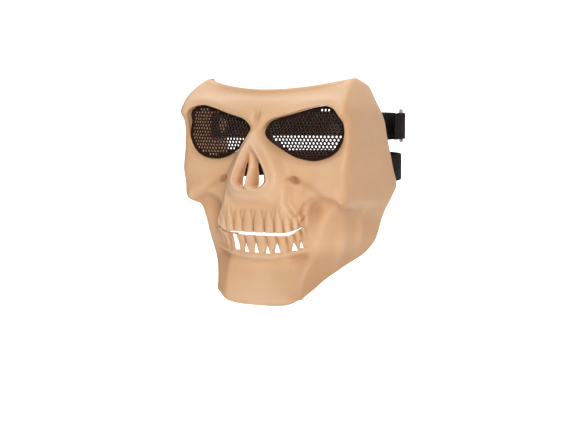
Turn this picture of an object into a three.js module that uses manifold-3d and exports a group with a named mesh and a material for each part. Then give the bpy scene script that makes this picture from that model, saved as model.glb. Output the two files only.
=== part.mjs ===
// Full-face skull mask: a moulded shell, two domed perforated eye plates and two elastic head straps.
// Millimetres. +X is the wearer's left, the face looks along -Y and +Z is up.
// The origin is the middle of the head hollow, between the ears at eye level.

import * as THREE from "three";
import { mergeVertices } from "three/addons/utils/BufferGeometryUtils.js";
import Module from "manifold-3d";

const wasm = await Module();
wasm.setup();

// Shell sizes
const faceWidth = 174;
const faceHeight = 200;
const faceDepth = 118;
const chinDrop = 154;
const wall = 2.8;
const fitGap = 0.3;

// Sizes of the face's features
const eyeWidth = 69;
const eyeHeight = 48;
const browRecess = 7;
const cheekRecess = 2.5;
const cheekSlope = 6;
const collarWall = 2;
const rimRadius = 1.8;
const noseRise = 14;
const noseFootDrop = 0.25;
const noseSlope = 16;
const noseSink = 6.5;
const noseSinkReach = 5;
const noseSinkAtRim = 0.6;
const bladeRise = 4;
const bladeFootRise = 9;
const bladeFootSpan = 0.1;
const bladeSpread = 3.6;
const fossaDepth = 6.5;
const fossaEdge = 6;
const fossaSlant = 0.55;
const creaseDepth = 3.2;
const creaseSpread = 4;
const creaseHollow = 13;
const creaseFade = 8;
const cheekRise = 1.6;
const cheekOver = 10;
const cheekSpread = 7;
const toothRise = 1.8;
const crownEdge = 1.5;
const upperRoot = 12;
const lowerRoot = 8;
const ledgeRise = 1.6;
const ledgeSpread = 2.4;
const ledgeDrop = 2;
const ledgeLift = 6;
const biteGap = 2.8;
const mouthInset = 3.5;

// Eye plate sizes
const plateThickness = 1.2;
const plateSink = 0.8;
const plateDome = 3;
const meshPitch = 6.6;
const meshHole = 4.6;
const meshBorder = 2;
const meshHoleSides = 6;

// Strap and fitting sizes
const strapWidth = 24;
const strapThickness = 1.5;
const upperStrapHeight = 2;
const upperLoop = { width: 157, length: 190 };
const lowerStrapHeight = -36;
const lowerLoop = { width: 163, length: 200 };
const strapLean = 8;
const strapTuck = 26;
const tailLength = 30;
const sliderReach = 92;
const sliderLength = 28;
const sliderThickness = 2;
const sliderBar = 3;
const studHead = 13;
const studShank = 5;
const studThickness = 1.6;

// Places are shares of the face's width, depth and height
const across = (share) => (share * faceWidth) / 2;
const ahead = (share) => -share * faceDepth;
const aloft = (share) => share * faceHeight - chinDrop;

// Half sections of the shell from chin to crown. z is a share of the face's height above the chin, x of
// half its width, y of its depth ahead of the ears. Each section runs from the middle to the rear edge.
const sectionStations = ["mid", "inner", "outer", "corner", "side", "rear"];
const sectionTurns = [0, 0.31, 0.5, 0.68, 0.84, 1];
const sections = [
  { z: 0.0, x: [0, 0.17, 0.3, 0.415, 0.45, 0.465], y: [0.81, 0.81, 0.81, 0.8, 0.78, 0.755] },
  { z: 0.035, x: [0, 0.22, 0.37, 0.48, 0.51, 0.52], y: [0.835, 0.835, 0.825, 0.8, 0.765, 0.735] },
  { z: 0.095, x: [0, 0.24, 0.39, 0.49, 0.54, 0.58], y: [0.82, 0.82, 0.81, 0.785, 0.72, 0.635] },
  { z: 0.165, x: [0, 0.265, 0.42, 0.535, 0.61, 0.7], y: [0.79, 0.79, 0.77, 0.74, 0.6, 0.4] },
  { z: 0.22, x: [0, 0.31, 0.455, 0.6, 0.725, 0.82], y: [0.82, 0.785, 0.735, 0.7, 0.455, 0.22] },
  { z: 0.28, x: [0, 0.345, 0.49, 0.655, 0.81, 0.895], y: [0.84, 0.79, 0.742, 0.695, 0.405, 0.15] },
  { z: 0.355, x: [0, 0.36, 0.53, 0.705, 0.88, 0.925], y: [0.88, 0.855, 0.745, 0.695, 0.375, 0.095] },
  { z: 0.42, x: [0, 0.36, 0.585, 0.79, 0.95, 0.965], y: [0.885, 0.885, 0.725, 0.705, 0.33, 0.06] },
  { z: 0.465, x: [0, 0.36, 0.645, 0.925, 0.98, 0.99], y: [0.885, 0.89, 0.74, 0.72, 0.345, 0.015] },
  { z: 0.52, x: [0, 0.355, 0.66, 0.945, 0.99, 1.01], y: [0.865, 0.86, 0.77, 0.73, 0.365, -0.04] },
  { z: 0.59, x: [0, 0.345, 0.66, 0.955, 0.99, 1.0], y: [0.84, 0.815, 0.78, 0.755, 0.38, 0.005] },
  { z: 0.695, x: [0, 0.33, 0.66, 0.97, 0.985, 0.99], y: [0.825, 0.78, 0.745, 0.715, 0.38, 0.07] },
  { z: 0.8, x: [0, 0.33, 0.66, 0.96, 0.975, 0.965], y: [0.835, 0.81, 0.755, 0.715, 0.405, 0.13] },
  { z: 0.85, x: [0, 0.33, 0.66, 0.955, 0.965, 0.95], y: [0.82, 0.805, 0.79, 0.78, 0.44, 0.17] },
  { z: 0.9, x: [0, 0.33, 0.66, 0.95, 0.95, 0.93], y: [0.775, 0.77, 0.745, 0.74, 0.44, 0.22] },
  { z: 0.96, x: [0, 0.31, 0.645, 0.895, 0.91, 0.89], y: [0.72, 0.7, 0.645, 0.625, 0.44, 0.265] },
  { z: 1.0, x: [0, 0.31, 0.62, 0.82, 0.85, 0.855], y: [0.705, 0.67, 0.595, 0.515, 0.47, 0.44] },
];
const sectionBlend = 0.06;
const blendSteps = [-1, -0.5, 0, 0.5, 1];
const chinLift = 0.032;
const chinReach = 0.45;
const chinFade = 0.1;
const topDip = 0.05;
const topDipStart = 0.87;
const topDipReach = 0.86;

// Eye opening, as shares of its own width and height about its middle
const eyeMiddle = { x: across(0.494), z: aloft(0.76) };
const eyeOutline = [
  [-0.525, 0.08], [-0.455, 0.22], [-0.18, 0.345], [0.085, 0.46], [0.275, 0.5], [0.43, 0.425],
  [0.51, 0.2], [0.51, -0.06], [0.415, -0.33], [0.275, -0.455], [0.08, -0.5], [-0.13, -0.44],
  [-0.36, -0.25], [-0.495, -0.05],
];

// Nose rim and nostril, in the left half of the face, as shares of the half width and the height
const noseRim = [
  [0, 0.7175], [0.036, 0.7], [0.068, 0.675], [0.122, 0.63], [0.172, 0.585], [0.19, 0.55],
  [0.13, 0.5225], [0, 0.5175],
];
const nostril = [
  [0.048, 0.638], [0.07, 0.636], [0.104, 0.6], [0.122, 0.57], [0.122, 0.54], [0.1, 0.526],
  [0.07, 0.53], [0.06, 0.565],
];

// Hollow beside the nose: inner edge and outer fade of the half width, middle and spread of the height
const fossa = { inner: 0.325, outer: 0.5, fade: 0.2, middle: 0.465, spread: 0.095 };

// Fold under the cheekbone: places across and heights as shares, outwards from the nose
const creaseAcross = [0.45, 0.494, 0.523, 0.575, 0.655, 0.759, 0.84, 0.86, 0.9, 0.945, 1.03];
const creaseHeights = [0.37, 0.404, 0.434, 0.455, 0.4695, 0.4615, 0.444, 0.428, 0.421, 0.44, 0.45];
const creaseEnds = [0.45, 0.9];

// Tooth edges from the middle outwards, as shares of the half width
const toothEdges = [0, 0.124, 0.233, 0.328, 0.408, 0.471, 0.523];
const biteHeight = 0.32;
const biteCurl = 0.036;
const upperGum = 0.41;
const lowerGum = 0.225;
const biteCurlStart = 0.3;
const biteCurlReach = 0.18;
const ledgeReach = 0.46;
const ledgeFade = 0.1;

// Gaps cut between the lower teeth: middle and width across, bottom and top, all as shares
const toothGaps = [
  { middle: -0.13, width: 0.076, low: 0.234, high: 0.278 },
  { middle: -0.01, width: 0.068, low: 0.234, high: 0.284 },
  { middle: 0.117, width: 0.066, low: 0.233, high: 0.27 },
  { middle: 0.218, width: 0.08, low: 0.238, high: 0.28 },
  { middle: 0.385, width: 0.072, low: 0.248, high: 0.288 },
  { middle: 0.45, width: 0.05, low: 0.26, high: 0.296 },
];
const missingTooth = { left: -0.312, right: -0.224, low: 0.242 };

// Grid of the outer face: rows in bands from chin to crown, columns at the teeth and then round to the ear
const rowBands = [
  { top: 0.035, rows: 2 },
  { top: 0.19, rows: 5 },
  { top: 0.26, rows: 5 },
  { top: 0.42, rows: 8 },
  { top: 0.8, rows: 12 },
  { top: 1.0, rows: 8 },
];
const columnsPerTooth = [3, 3, 3, 2, 2, 2];
const columnsPastTeeth = 8;
const strapSteps = 28;
const rimSides = 6;
const turnStep = 0.004;
const heightStep = 0.5;

const clamp = (value, low, high) => Math.min(high, Math.max(low, value));
const smooth = (value) => {
  const t = clamp(value, 0, 1);
  return t * t * (3 - 2 * t);
};
const bump = (offset, spread) => Math.exp(-((offset / spread) ** 2));

// Smooth curve through points that never overshoots them
function curveThrough(xs, ys) {
  const last = xs.length - 1;
  const slopes = xs.slice(1).map((x, i) => (ys[i + 1] - ys[i]) / (x - xs[i]));
  const tangents = xs.map((_, i) => {
    if (i === 0) return slopes[0];
    if (i === last) return slopes[last - 1];
    const product = slopes[i - 1] * slopes[i];
    return product <= 0 ? 0 : (2 * product) / (slopes[i - 1] + slopes[i]);
  });
  return (x) => {
    let i = 0;
    while (i < last - 1 && x > xs[i + 1]) i += 1;
    const span = xs[i + 1] - xs[i];
    const t = clamp((x - xs[i]) / span, 0, 1);
    const u = 1 - t;
    const start = ys[i] * (1 + 2 * t) + tangents[i] * span * t;
    const end = ys[i + 1] * (1 + 2 * u) - tangents[i + 1] * span * u;
    return start * u * u + end * t * t;
  };
}

const sectionHeights = sections.map((section) => aloft(section.z));
const stationCurves = (share, axis) => sectionStations.map((_, i) =>
  curveThrough(sectionHeights, sections.map((row) => share(row[axis][i]))));
const stationX = stationCurves(across, "x");
const stationY = stationCurves(ahead, "y");

// A section curve averaged over a short stretch, which rounds its corners but not its rear end
function softened(curve) {
  return (turn) => {
    const reach = clamp(1 - turn, 0, sectionBlend);
    const total = blendSteps.reduce((sum, step) => sum + curve(turn + step * reach), 0);
    return total / blendSteps.length;
  };
}

// The section curves at one height, over the turn from the middle (0) to the rear edge (1)
const sectionCache = new Map();
function sectionAt(height) {
  const key = height.toFixed(4);
  if (!sectionCache.has(key)) {
    const turns = [-sectionTurns[1], ...sectionTurns];
    const xs = stationX.map((curve) => curve(height));
    const ys = stationY.map((curve) => curve(height));
    const x = softened(curveThrough(turns, [-xs[1], ...xs]));
    const y = softened(curveThrough(turns, [ys[1], ...ys]));
    sectionCache.set(key, { x, y });
  }
  return sectionCache.get(key);
}

// Point of the plain face before its features are raised; a negative turn is the wearer's right
function plainFace(turn, height) {
  const section = sectionAt(height);
  const x = section.x(Math.abs(turn));
  const dip = topDip * faceHeight * Math.max(0, 1 - (x / across(topDipReach)) ** 2);
  const fade = smooth((height - aloft(topDipStart)) / (aloft(1) - aloft(topDipStart)));
  const chin = 1 - smooth((height - aloft(0)) / (chinFade * faceHeight));
  const lift = chinLift * faceHeight * Math.min(1, x / across(chinReach)) ** 4 * chin;
  return new THREE.Vector3(Math.sign(turn) * x, section.y(Math.abs(turn)), height - dip * fade + lift);
}

// Signed distance from a closed outline, positive inside it
function insideBy(outline, x, z) {
  let nearest = Infinity;
  let inside = false;
  outline.forEach((start, i) => {
    const end = outline[(i + 1) % outline.length];
    const edge = end.clone().sub(start);
    const t = clamp(((x - start.x) * edge.x + (z - start.y) * edge.y) / edge.lengthSq(), 0, 1);
    nearest = Math.min(nearest, Math.hypot(x - start.x - t * edge.x, z - start.y - t * edge.y));
    if (start.y > z !== end.y > z && x < start.x + ((z - start.y) / edge.y) * edge.x) inside = !inside;
  });
  return inside ? nearest : -nearest;
}

// Closed smooth outline through points, as Vector2 of x and z
function smoothOutline(points, count) {
  const curve = new THREE.CatmullRomCurve3(points.map(([x, z]) => new THREE.Vector3(x, z, 0)), true);
  return curve.getPoints(count).slice(0, count).map((point) => new THREE.Vector2(point.x, point.y));
}

const eyePoints = eyeOutline.map(([x, z]) => [eyeMiddle.x + x * eyeWidth, eyeMiddle.z + z * eyeHeight]);
const leftEye = smoothOutline(eyePoints, 40);
const noseHalf = noseRim.map(([x, z]) => [across(x), aloft(z)]);
const [noseTop, noseFoot] = [noseHalf[0][1], noseHalf.at(-1)[1]];
const noseMirror = noseHalf.slice(1, -1).reverse().map(([x, z]) => [-x, z]);
const noseOutline = smoothOutline([...noseHalf, ...noseMirror], 32);

// How far up under the brow a height lies within the eye opening, from 0 at the cheek to 1 at the brow
const underBrow = (z) => smooth((z - eyeMiddle.z + 0.15 * eyeHeight) / (0.4 * eyeHeight));

// Large forms of the face, raised along its plan normal and shared by the inside of the wall
function largeForms({ x, z }) {
  const side = Math.abs(x);
  const noseDistance = insideBy(noseOutline, x, z);
  const foot = 1 - noseFootDrop * smooth((noseTop - z) / (noseTop - noseFoot));
  let rise = noseRise * foot * smooth((noseDistance + noseSlope) / noseSlope);
  rise -= noseSink * smooth(noseDistance / noseSinkReach);

  const eyeDistance = insideBy(leftEye, side, z);
  rise -= cheekRecess * (1 - underBrow(z)) * smooth((eyeDistance + cheekSlope) / cheekSlope);

  const innerEdge = across(fossa.inner) + fossaSlant * Math.max(0, aloft(fossa.middle) - z);
  const inward = smooth((side - innerEdge) / fossaEdge);
  const outward = 1 - smooth((side - across(fossa.outer)) / across(fossa.fade));
  rise -= fossaDepth * inward * outward * bump(z - aloft(fossa.middle), fossa.spread * faceHeight);
  return rise + cheekFold(side, z);
}

const creaseLine = curveThrough(creaseAcross.map(across), creaseHeights.map(aloft));

// Swell of the cheekbone and the fold under it
function cheekFold(side, z) {
  const [start, end] = creaseEnds.map(across);
  const along = smooth((side - start) / creaseFade) * (1 - smooth((side - end) / creaseFade));
  const above = z - creaseLine(side);
  const swell = cheekRise * bump(above - cheekOver, cheekSpread);
  return along * (swell - creaseDepth * bump(above, above < 0 ? creaseHollow : creaseSpread));
}

// Height of the bite line, curling up at the corners of the mouth
function biteAt(x) {
  const curl = clamp((Math.abs(x) - across(biteCurlStart)) / across(biteCurlReach), 0, 1);
  return aloft(biteHeight + biteCurl * curl ** 2);
}

// Ridge between the nostrils, standing further forward towards its foot
function noseBlade(x, z) {
  const foot = smooth((aloft(nostril[0][1]) - z) / (bladeFootSpan * faceHeight));
  const inside = smooth(insideBy(noseOutline, x, z) / bladeSpread);
  return (bladeRise + bladeFootRise * foot) * inside * bump(x, bladeSpread);
}

// Fine relief on the outside only: tooth crowns, the gum ledge and the ridge in the nose
function fineForms({ x, z }) {
  const side = Math.abs(x);
  const edge = toothEdges.findIndex((share) => across(share) > side);
  let rise = 0;
  if (edge > 0) {
    const left = across(toothEdges[edge - 1]);
    const right = across(toothEdges[edge]);
    const crown = Math.sin((Math.PI * (side - left)) / (right - left)) ** 0.5;
    const above = smooth((aloft(upperGum) - z) / upperRoot) * smooth((z - biteAt(x)) / crownEdge);
    const below = smooth((z - aloft(lowerGum)) / lowerRoot) * smooth((biteAt(x) - z) / crownEdge);
    rise += toothRise * crown * Math.max(above, below);
  }
  const ledge = aloft(lowerGum) - ledgeDrop + ledgeLift * (side / across(ledgeReach)) ** 2;
  const end = 1 - smooth((side - across(ledgeReach)) / across(ledgeFade));
  return rise + ledgeRise * bump(z - ledge, ledgeSpread) * end + noseBlade(x, z);
}

// The face with its large forms only, and the same with the fine relief or sunk by the wall
function formedFace(turn, height) {
  const point = plainFace(turn, height);
  return point.addScaledVector(planNormal(turn, height), largeForms(point));
}

function planNormal(turn, height) {
  const along = plainFace(turn + turnStep, height).sub(plainFace(turn - turnStep, height));
  return new THREE.Vector3(along.y, -along.x, 0).normalize();
}

function outerPoint(turn, height) {
  const rise = fineForms(plainFace(turn, height));
  return formedFace(turn, height).addScaledVector(planNormal(turn, height), rise);
}

function innerPoint(turn, height) {
  const along = formedFace(turn + turnStep, height).sub(formedFace(turn - turnStep, height));
  const up = formedFace(turn, height + heightStep).sub(formedFace(turn, height - heightStep));
  return formedFace(turn, height).addScaledVector(along.cross(up).normalize(), -wall);
}

// The turn at which the plain face passes a given x or y at one height
function turnWhere(axis, value, height) {
  let low = 0;
  let high = 1;
  for (let i = 0; i < 30; i += 1) {
    const middle = (low + high) / 2;
    if (plainFace(middle, height)[axis] < value) low = middle;
    else high = middle;
  }
  return low;
}

// Grid of the face: turns of the columns across the whole face and heights of the rows
function columnTurns() {
  const mouth = aloft(biteHeight);
  const half = [0];
  columnsPerTooth.forEach((count, tooth) => {
    const start = turnWhere("x", across(toothEdges[tooth]), mouth);
    const end = turnWhere("x", across(toothEdges[tooth + 1]), mouth);
    for (let i = 1; i <= count; i += 1) half.push(start + ((end - start) * i) / count);
  });
  const lastTooth = half.at(-1);
  for (let i = 1; i <= columnsPastTeeth; i += 1) {
    half.push(lastTooth + ((1 - lastTooth) * i) / columnsPastTeeth);
  }
  return [...half.slice(1).reverse().map((turn) => -turn), ...half];
}

function rowHeights() {
  const heights = [0];
  rowBands.forEach(({ top, rows }) => {
    const bottom = heights.at(-1);
    for (let i = 1; i <= rows; i += 1) heights.push(bottom + ((top - bottom) * i) / rows);
  });
  return heights.map(aloft);
}

// Closed wall between the outer grid and an inner grid that has every second row and column
function shellWall() {
  const turns = columnTurns();
  const heights = rowHeights();
  const innerTurns = turns.filter((_, i) => i % 2 === 0);
  const innerHeights = heights.filter((_, i) => i % 2 === 0);
  const outer = heights.flatMap((height) => turns.map((turn) => outerPoint(turn, height)));
  const inner = innerHeights.flatMap((height) => innerTurns.map((turn) => innerPoint(turn, height)));
  const outerIndex = (column, row) => row * turns.length + column;
  const innerIndex = (column, row) => outer.length + row * innerTurns.length + column;
  const faces = [];
  gridFaces(turns.length, heights.length, outerIndex, false, faces);
  gridFaces(innerTurns.length, innerHeights.length, innerIndex, true, faces);

  const outerRim = rimLoop(turns.length, heights.length, outerIndex);
  const innerRim = rimLoop(innerTurns.length, innerHeights.length, innerIndex);
  innerRim.forEach((here, i) => {
    const next = innerRim[(i + 1) % innerRim.length];
    const start = outerRim[2 * i];
    const middle = outerRim[2 * i + 1];
    const end = outerRim[(2 * i + 2) % outerRim.length];
    faces.push([start, here, middle], [middle, here, next], [middle, next, end]);
  });
  return solidFrom([...outer, ...inner], faces);
}

function gridFaces(columns, rows, index, inward, faces) {
  for (let row = 0; row < rows - 1; row += 1) {
    for (let column = 0; column < columns - 1; column += 1) {
      const a = index(column, row);
      const b = index(column + 1, row);
      const c = index(column + 1, row + 1);
      const d = index(column, row + 1);
      if (inward) faces.push([a, c, b], [a, d, c]);
      else faces.push([a, b, c], [a, c, d]);
    }
  }
}

function rimLoop(columns, rows, index) {
  const loop = [];
  for (let i = 0; i < columns - 1; i += 1) loop.push(index(i, 0));
  for (let i = 0; i < rows - 1; i += 1) loop.push(index(columns - 1, i));
  for (let i = columns - 1; i > 0; i -= 1) loop.push(index(i, rows - 1));
  for (let i = rows - 1; i > 0; i -= 1) loop.push(index(0, i));
  return loop;
}

// Solids for joining and cutting
function solidFrom(points, faces) {
  const vertProperties = new Float32Array(points.flatMap((point) => point.toArray()));
  const triVerts = new Uint32Array(faces.flat());
  return new wasm.Manifold(new wasm.Mesh({ numProp: 3, vertProperties, triVerts }));
}

function solidOf(geometry) {
  const bare = geometry.clone();
  bare.deleteAttribute("normal");
  bare.deleteAttribute("uv");
  const merged = mergeVertices(bare, 1e-4);
  const vertProperties = new Float32Array(merged.attributes.position.array);
  const triVerts = new Uint32Array(merged.index.array);
  return new wasm.Manifold(new wasm.Mesh({ numProp: 3, vertProperties, triVerts }));
}

function geometryOf(solid) {
  const { vertProperties, triVerts } = solid.getMesh();
  const geometry = new THREE.BufferGeometry();
  geometry.setAttribute("position", new THREE.BufferAttribute(new Float32Array(vertProperties), 3));
  geometry.setIndex(new THREE.BufferAttribute(new Uint32Array(triVerts), 1));
  geometry.computeVertexNormals();
  return geometry;
}

function mirrored(geometry) {
  const copy = geometry.clone().applyMatrix4(new THREE.Matrix4().makeScale(-1, 1, 1));
  if (!copy.index) copy.setIndex([...Array(copy.attributes.position.count).keys()]);
  const index = copy.index.array;
  for (let i = 0; i < index.length; i += 3) [index[i], index[i + 1]] = [index[i + 1], index[i]];
  copy.computeVertexNormals();
  return copy;
}

// Outlines in the front view
const mirrorOutline = (outline) => outline.map((point) => new THREE.Vector2(-point.x, point.y)).reverse();

function insetOutline(outline, inset) {
  const turn = THREE.ShapeUtils.area(outline) > 0 ? 1 : -1;
  return outline.map((point, i) => {
    const before = outline.at(i - 1);
    const after = outline[(i + 1) % outline.length];
    const edge = after.clone().sub(before).normalize();
    return new THREE.Vector2(point.x - edge.y * inset * turn, point.y + edge.x * inset * turn);
  });
}

// A cutter that runs through the front of the face along Y
function frontCutter(outline) {
  const depth = 0.5 * faceDepth;
  const geometry = new THREE.ExtrudeGeometry(new THREE.Shape(outline), { depth, bevelEnabled: false });
  geometry.translate(0, 0, faceDepth * 1.1 - depth);
  return solidOf(geometry.rotateX(Math.PI / 2));
}

function mouthOutline() {
  const reach = across(toothEdges.at(-1)) - mouthInset;
  const steps = 16;
  const xs = Array.from({ length: steps + 1 }, (_, i) => -reach + (2 * reach * i) / steps);
  const open = (x) => (biteGap / 2) * (1 - 0.5 * smooth((Math.abs(x) - 0.7 * reach) / (0.3 * reach)));
  const low = xs.map((x) => new THREE.Vector2(x, biteAt(x) - open(x)));
  const high = xs.map((x) => new THREE.Vector2(x, biteAt(x) + open(x))).reverse();
  return [...low, ...high];
}

function toothGapOutline({ middle, width, low, high }) {
  const x = across(middle);
  const half = across(width) / 2;
  return [[x - half, low], [x + half, low], [x + half * 0.25, high], [x - half * 0.25, high]]
    .map(([px, share]) => new THREE.Vector2(px, aloft(share)));
}

function missingToothOutline({ left, right, low }) {
  const top = aloft(biteHeight);
  const slant = across(right - left) * 0.22;
  return [[across(left) + slant, aloft(low)], [across(right) + slant, aloft(low)], [across(right), top],
    [across(left), top]].map(([x, z]) => new THREE.Vector2(x, z));
}

// Closed skin over rings of points that join up in a loop or end in two caps
function ringSolid(rings) {
  const count = rings[0].length;
  const faces = [];
  rings.forEach((_, ring) => {
    const here = ring * count;
    const next = ((ring + 1) % rings.length) * count;
    for (let i = 0; i < count; i += 1) {
      const j = (i + 1) % count;
      faces.push([here + i, here + j, next + j], [here + i, next + j, next + i]);
    }
  });
  return solidFrom(rings.flat(), faces);
}

// A point of the front view set on the face, moved back by a distance
function onFace(point, back) {
  const side = Math.abs(point.x);
  const face = formedFace(turnWhere("x", side, point.y), point.y);
  return new THREE.Vector3(point.x, face.y + back, point.y);
}

// How far behind the face the front of the eye plate's edge lies
const plateSeat = (z) => plateSink + browRecess * underBrow(z);

// Collar behind the eye opening, deep under the brow and shallow at the cheek, that the plate sits in
function eyeCollar() {
  const outside = insetOutline(leftEye, -collarWall);
  const back = (point) => Math.max(wall, plateSeat(point.y) + plateThickness + fitGap);
  return ringSolid([
    leftEye.map((point) => onFace(point, wall / 2)),
    outside.map((point) => onFace(point, wall / 2)),
    outside.map((point) => onFace(point, back(point))),
    leftEye.map((point) => onFace(point, back(point))),
  ]);
}

// Raised bead round the nose opening
function noseBead() {
  const rings = noseOutline.map((point, i) => {
    const centre = onFace(point, noseSinkAtRim);
    const before = noseOutline.at(i - 1);
    const after = noseOutline[(i + 1) % noseOutline.length];
    const sideways = new THREE.Vector3(after.y - before.y, 0, before.x - after.x).normalize();
    return Array.from({ length: rimSides }, (_, side) => {
      const angle = (2 * Math.PI * side) / rimSides;
      return centre.clone().addScaledVector(sideways, rimRadius * Math.cos(angle))
        .add(new THREE.Vector3(0, rimRadius * Math.sin(angle), 0));
    });
  });
  return ringSolid(rings);
}

function maskShell() {
  const opening = leftEye;
  const collar = eyeCollar();
  const collars = collar.add(solidOf(mirrored(geometryOf(collar))));
  const raised = shellWall().add(collars).add(noseBead());
  const nostrilOutline = smoothOutline(nostril.map(([x, z]) => [across(x), aloft(z)]), 16);
  const outlines = [
    opening, mirrorOutline(opening), nostrilOutline, mirrorOutline(nostrilOutline), mouthOutline(),
    ...toothGaps.map(toothGapOutline), missingToothOutline(missingTooth),
  ];
  return geometryOf(outlines.reduce((shell, outline) => shell.subtract(frontCutter(outline)), raised));
}

// Eye plate: a thin domed plate inside the opening, pierced with a hexagonal pattern of holes
function plateHoles(border) {
  const holes = [];
  const rowPitch = meshPitch * Math.sqrt(0.75);
  const rows = Math.ceil(eyeHeight / rowPitch / 2);
  const columns = Math.ceil(eyeWidth / meshPitch / 2);
  for (let row = -rows; row <= rows; row += 1) {
    for (let column = -columns; column <= columns; column += 1) {
      const x = eyeMiddle.x + (column + (row % 2 ? 0.5 : 0)) * meshPitch;
      const z = eyeMiddle.z + row * rowPitch;
      if (insideBy(border, x, z) > meshBorder + meshHole / 2) holes.push(meshHoleAt(x, z));
    }
  }
  return holes;
}

function meshHoleAt(x, z) {
  const angles = Array.from({ length: meshHoleSides }, (_, i) => (2 * Math.PI * (i + 0.5)) / meshHoleSides);
  return angles.map((angle) => {
    const [along, up] = [Math.cos(angle), Math.sin(angle)].map((share) => (share * meshHole) / 2);
    return new THREE.Vector2(x + along, z + up);
  });
}

function eyePlate() {
  const border = insetOutline(leftEye, fitGap);
  const shape = new THREE.Shape(border);
  shape.holes = plateHoles(border).map((hole) => new THREE.Path(hole));
  const geometry = new THREE.ExtrudeGeometry(shape, { depth: plateThickness, bevelEnabled: false });
  const position = geometry.attributes.position;
  for (let i = 0; i < position.count; i += 1) {
    const x = position.getX(i);
    const z = position.getY(i);
    const dome = plateDome * smooth((insideBy(border, x, z) - meshBorder / 2) / (0.35 * eyeHeight));
    const back = onFace(new THREE.Vector2(x, z), plateSeat(z) + plateThickness - dome);
    position.setXYZ(i, x, back.y - position.getZ(i), z);
  }
  return geometry;
}

// Straps: ribbons that follow a route in plan; each stop has a point, a lean of the web and its inner side
function ribbon(stops) {
  const points = [];
  const faces = [];
  stops.forEach(({ at, lean }, i) => {
    const before = stops[Math.max(0, i - 1)].at;
    const after = stops[Math.min(stops.length - 1, i + 1)].at;
    const out = outwardOf(after.clone().sub(before));
    const up = new THREE.Vector3(0, 0, Math.cos(lean)).addScaledVector(out, -Math.sin(lean));
    const through = new THREE.Vector3(0, 0, Math.sin(lean)).addScaledVector(out, Math.cos(lean));
    for (const [height, side] of [[-1, -1], [-1, 1], [1, 1], [1, -1]]) {
      points.push(at.clone().addScaledVector(up, (height * strapWidth) / 2)
        .addScaledVector(through, (side * strapThickness) / 2));
    }
  });
  for (let i = 0; i < stops.length - 1; i += 1) {
    for (let side = 0; side < 4; side += 1) {
      const a = 4 * i + side;
      const b = 4 * i + ((side + 1) % 4);
      faces.push([a, b + 4, b], [a, a + 4, b + 4]);
    }
  }
  const end = 4 * (stops.length - 1);
  faces.push([0, 1, 2], [0, 2, 3], [end, end + 2, end + 1], [end, end + 3, end + 2]);
  return solidFrom(points, faces);
}

const outwardOf = (along) => new THREE.Vector3(along.y, -along.x, 0).normalize();

// Where a strap end lies flat against the inside of the shell, at a distance ahead of the rear edge
function insideWall(y, height) {
  return innerPoint(turnWhere("y", y, height), height);
}

function rearEdge(height) {
  return plainFace(1, height).y;
}

function tuckPoint(height, reach) {
  const y = rearEdge(height) - reach;
  const edges = [height - strapWidth / 2, height, height + strapWidth / 2];
  const nearest = Math.min(...edges.map((edge) => insideWall(y, edge).x));
  return new THREE.Vector3(nearest - fitGap - strapThickness / 2, y, height);
}

function strapCurve({ height, loop }) {
  const tuck = [1, 0.66, 0.33].map((share) => tuckPoint(height, share * strapTuck));
  const turns = [18, 34, 50, 66, 78, 90];
  const round = turns.map((degrees) => {
    const angle = THREE.MathUtils.degToRad(degrees);
    const [halfWidth, halfLength] = [loop.width / 2, loop.length / 2];
    return new THREE.Vector3(halfWidth * Math.cos(angle), halfLength * Math.sin(angle), height);
  });
  const left = [...tuck, ...round];
  const right = left.slice(0, -1).reverse().map((point) => new THREE.Vector3(-point.x, point.y, point.z));
  return new THREE.CatmullRomCurve3([...left, ...right]);
}

// Share of a strap's length that lies straight inside the shell at each end
const tuckedShare = (curve) => strapTuck / curve.getLength();

function strapStops(strap) {
  const curve = strapCurve(strap);
  const tucked = tuckedShare(curve);
  const step = (1 - 2 * tucked) / strapSteps;
  const behind = Array.from({ length: strapSteps + 1 }, (_, i) => tucked + step * i);
  return [0, ...behind, 1].map((place) => curve.getPointAt(place)).map((at) => ({
    at,
    lean: THREE.MathUtils.degToRad(strap.lean) * smooth((at.y - rearEdge(strap.height)) / strapTuck),
  }));
}

// The slider's place on the upper strap, with its directions along the strap and out from it
function sliderPlace() {
  const curve = strapCurve(upper);
  const length = curve.getLength();
  const spot = curve.getPointAt(sliderReach / length);
  const along = curve.getTangentAt(sliderReach / length);
  return { spot, along, out: outwardOf(along) };
}

const upper = { name: "upper", height: upperStrapHeight, loop: upperLoop, lean: strapLean };
const lower = { name: "lower", height: lowerStrapHeight, loop: lowerLoop, lean: 0 };

const leanShift = (strapWidth / 2) * Math.sin(THREE.MathUtils.degToRad(strapLean));
const sliderOffset = strapThickness / 2 + leanShift + fitGap + sliderThickness / 2;
const tailOffset = sliderOffset + sliderThickness / 2 + fitGap + strapThickness / 2;

// The strap's free end: out through the slider's rear slot, forward over its other bars and along the strap
function tailStops() {
  const curve = strapCurve(upper);
  const length = curve.getLength();
  const { spot, along, out } = sliderPlace();
  const slotEnd = sliderLength / 2 - sliderBar;
  const lean = THREE.MathUtils.degToRad(strapLean);
  const threaded = [
    [slotEnd - 0.2, 0, 1], [slotEnd - 1.4, 0.4, 0.9], [sliderBar / 2 + 1.2, tailOffset, 0],
    [-sliderLength / 2 - 1, tailOffset + 0.2, 0],
  ];
  const stops = threaded.map(([reach, offset, share]) => ({
    at: spot.clone().addScaledVector(along, reach).addScaledVector(out, offset),
    lean: lean * share,
  }));
  for (const share of [0.5, 1]) {
    const place = (sliderReach - sliderLength / 2 - share * tailLength) / length;
    const outward = outwardOf(curve.getTangentAt(place));
    stops.push({ at: curve.getPointAt(place).addScaledVector(outward, tailOffset), lean: 0 });
  }
  return stops;
}

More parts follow.
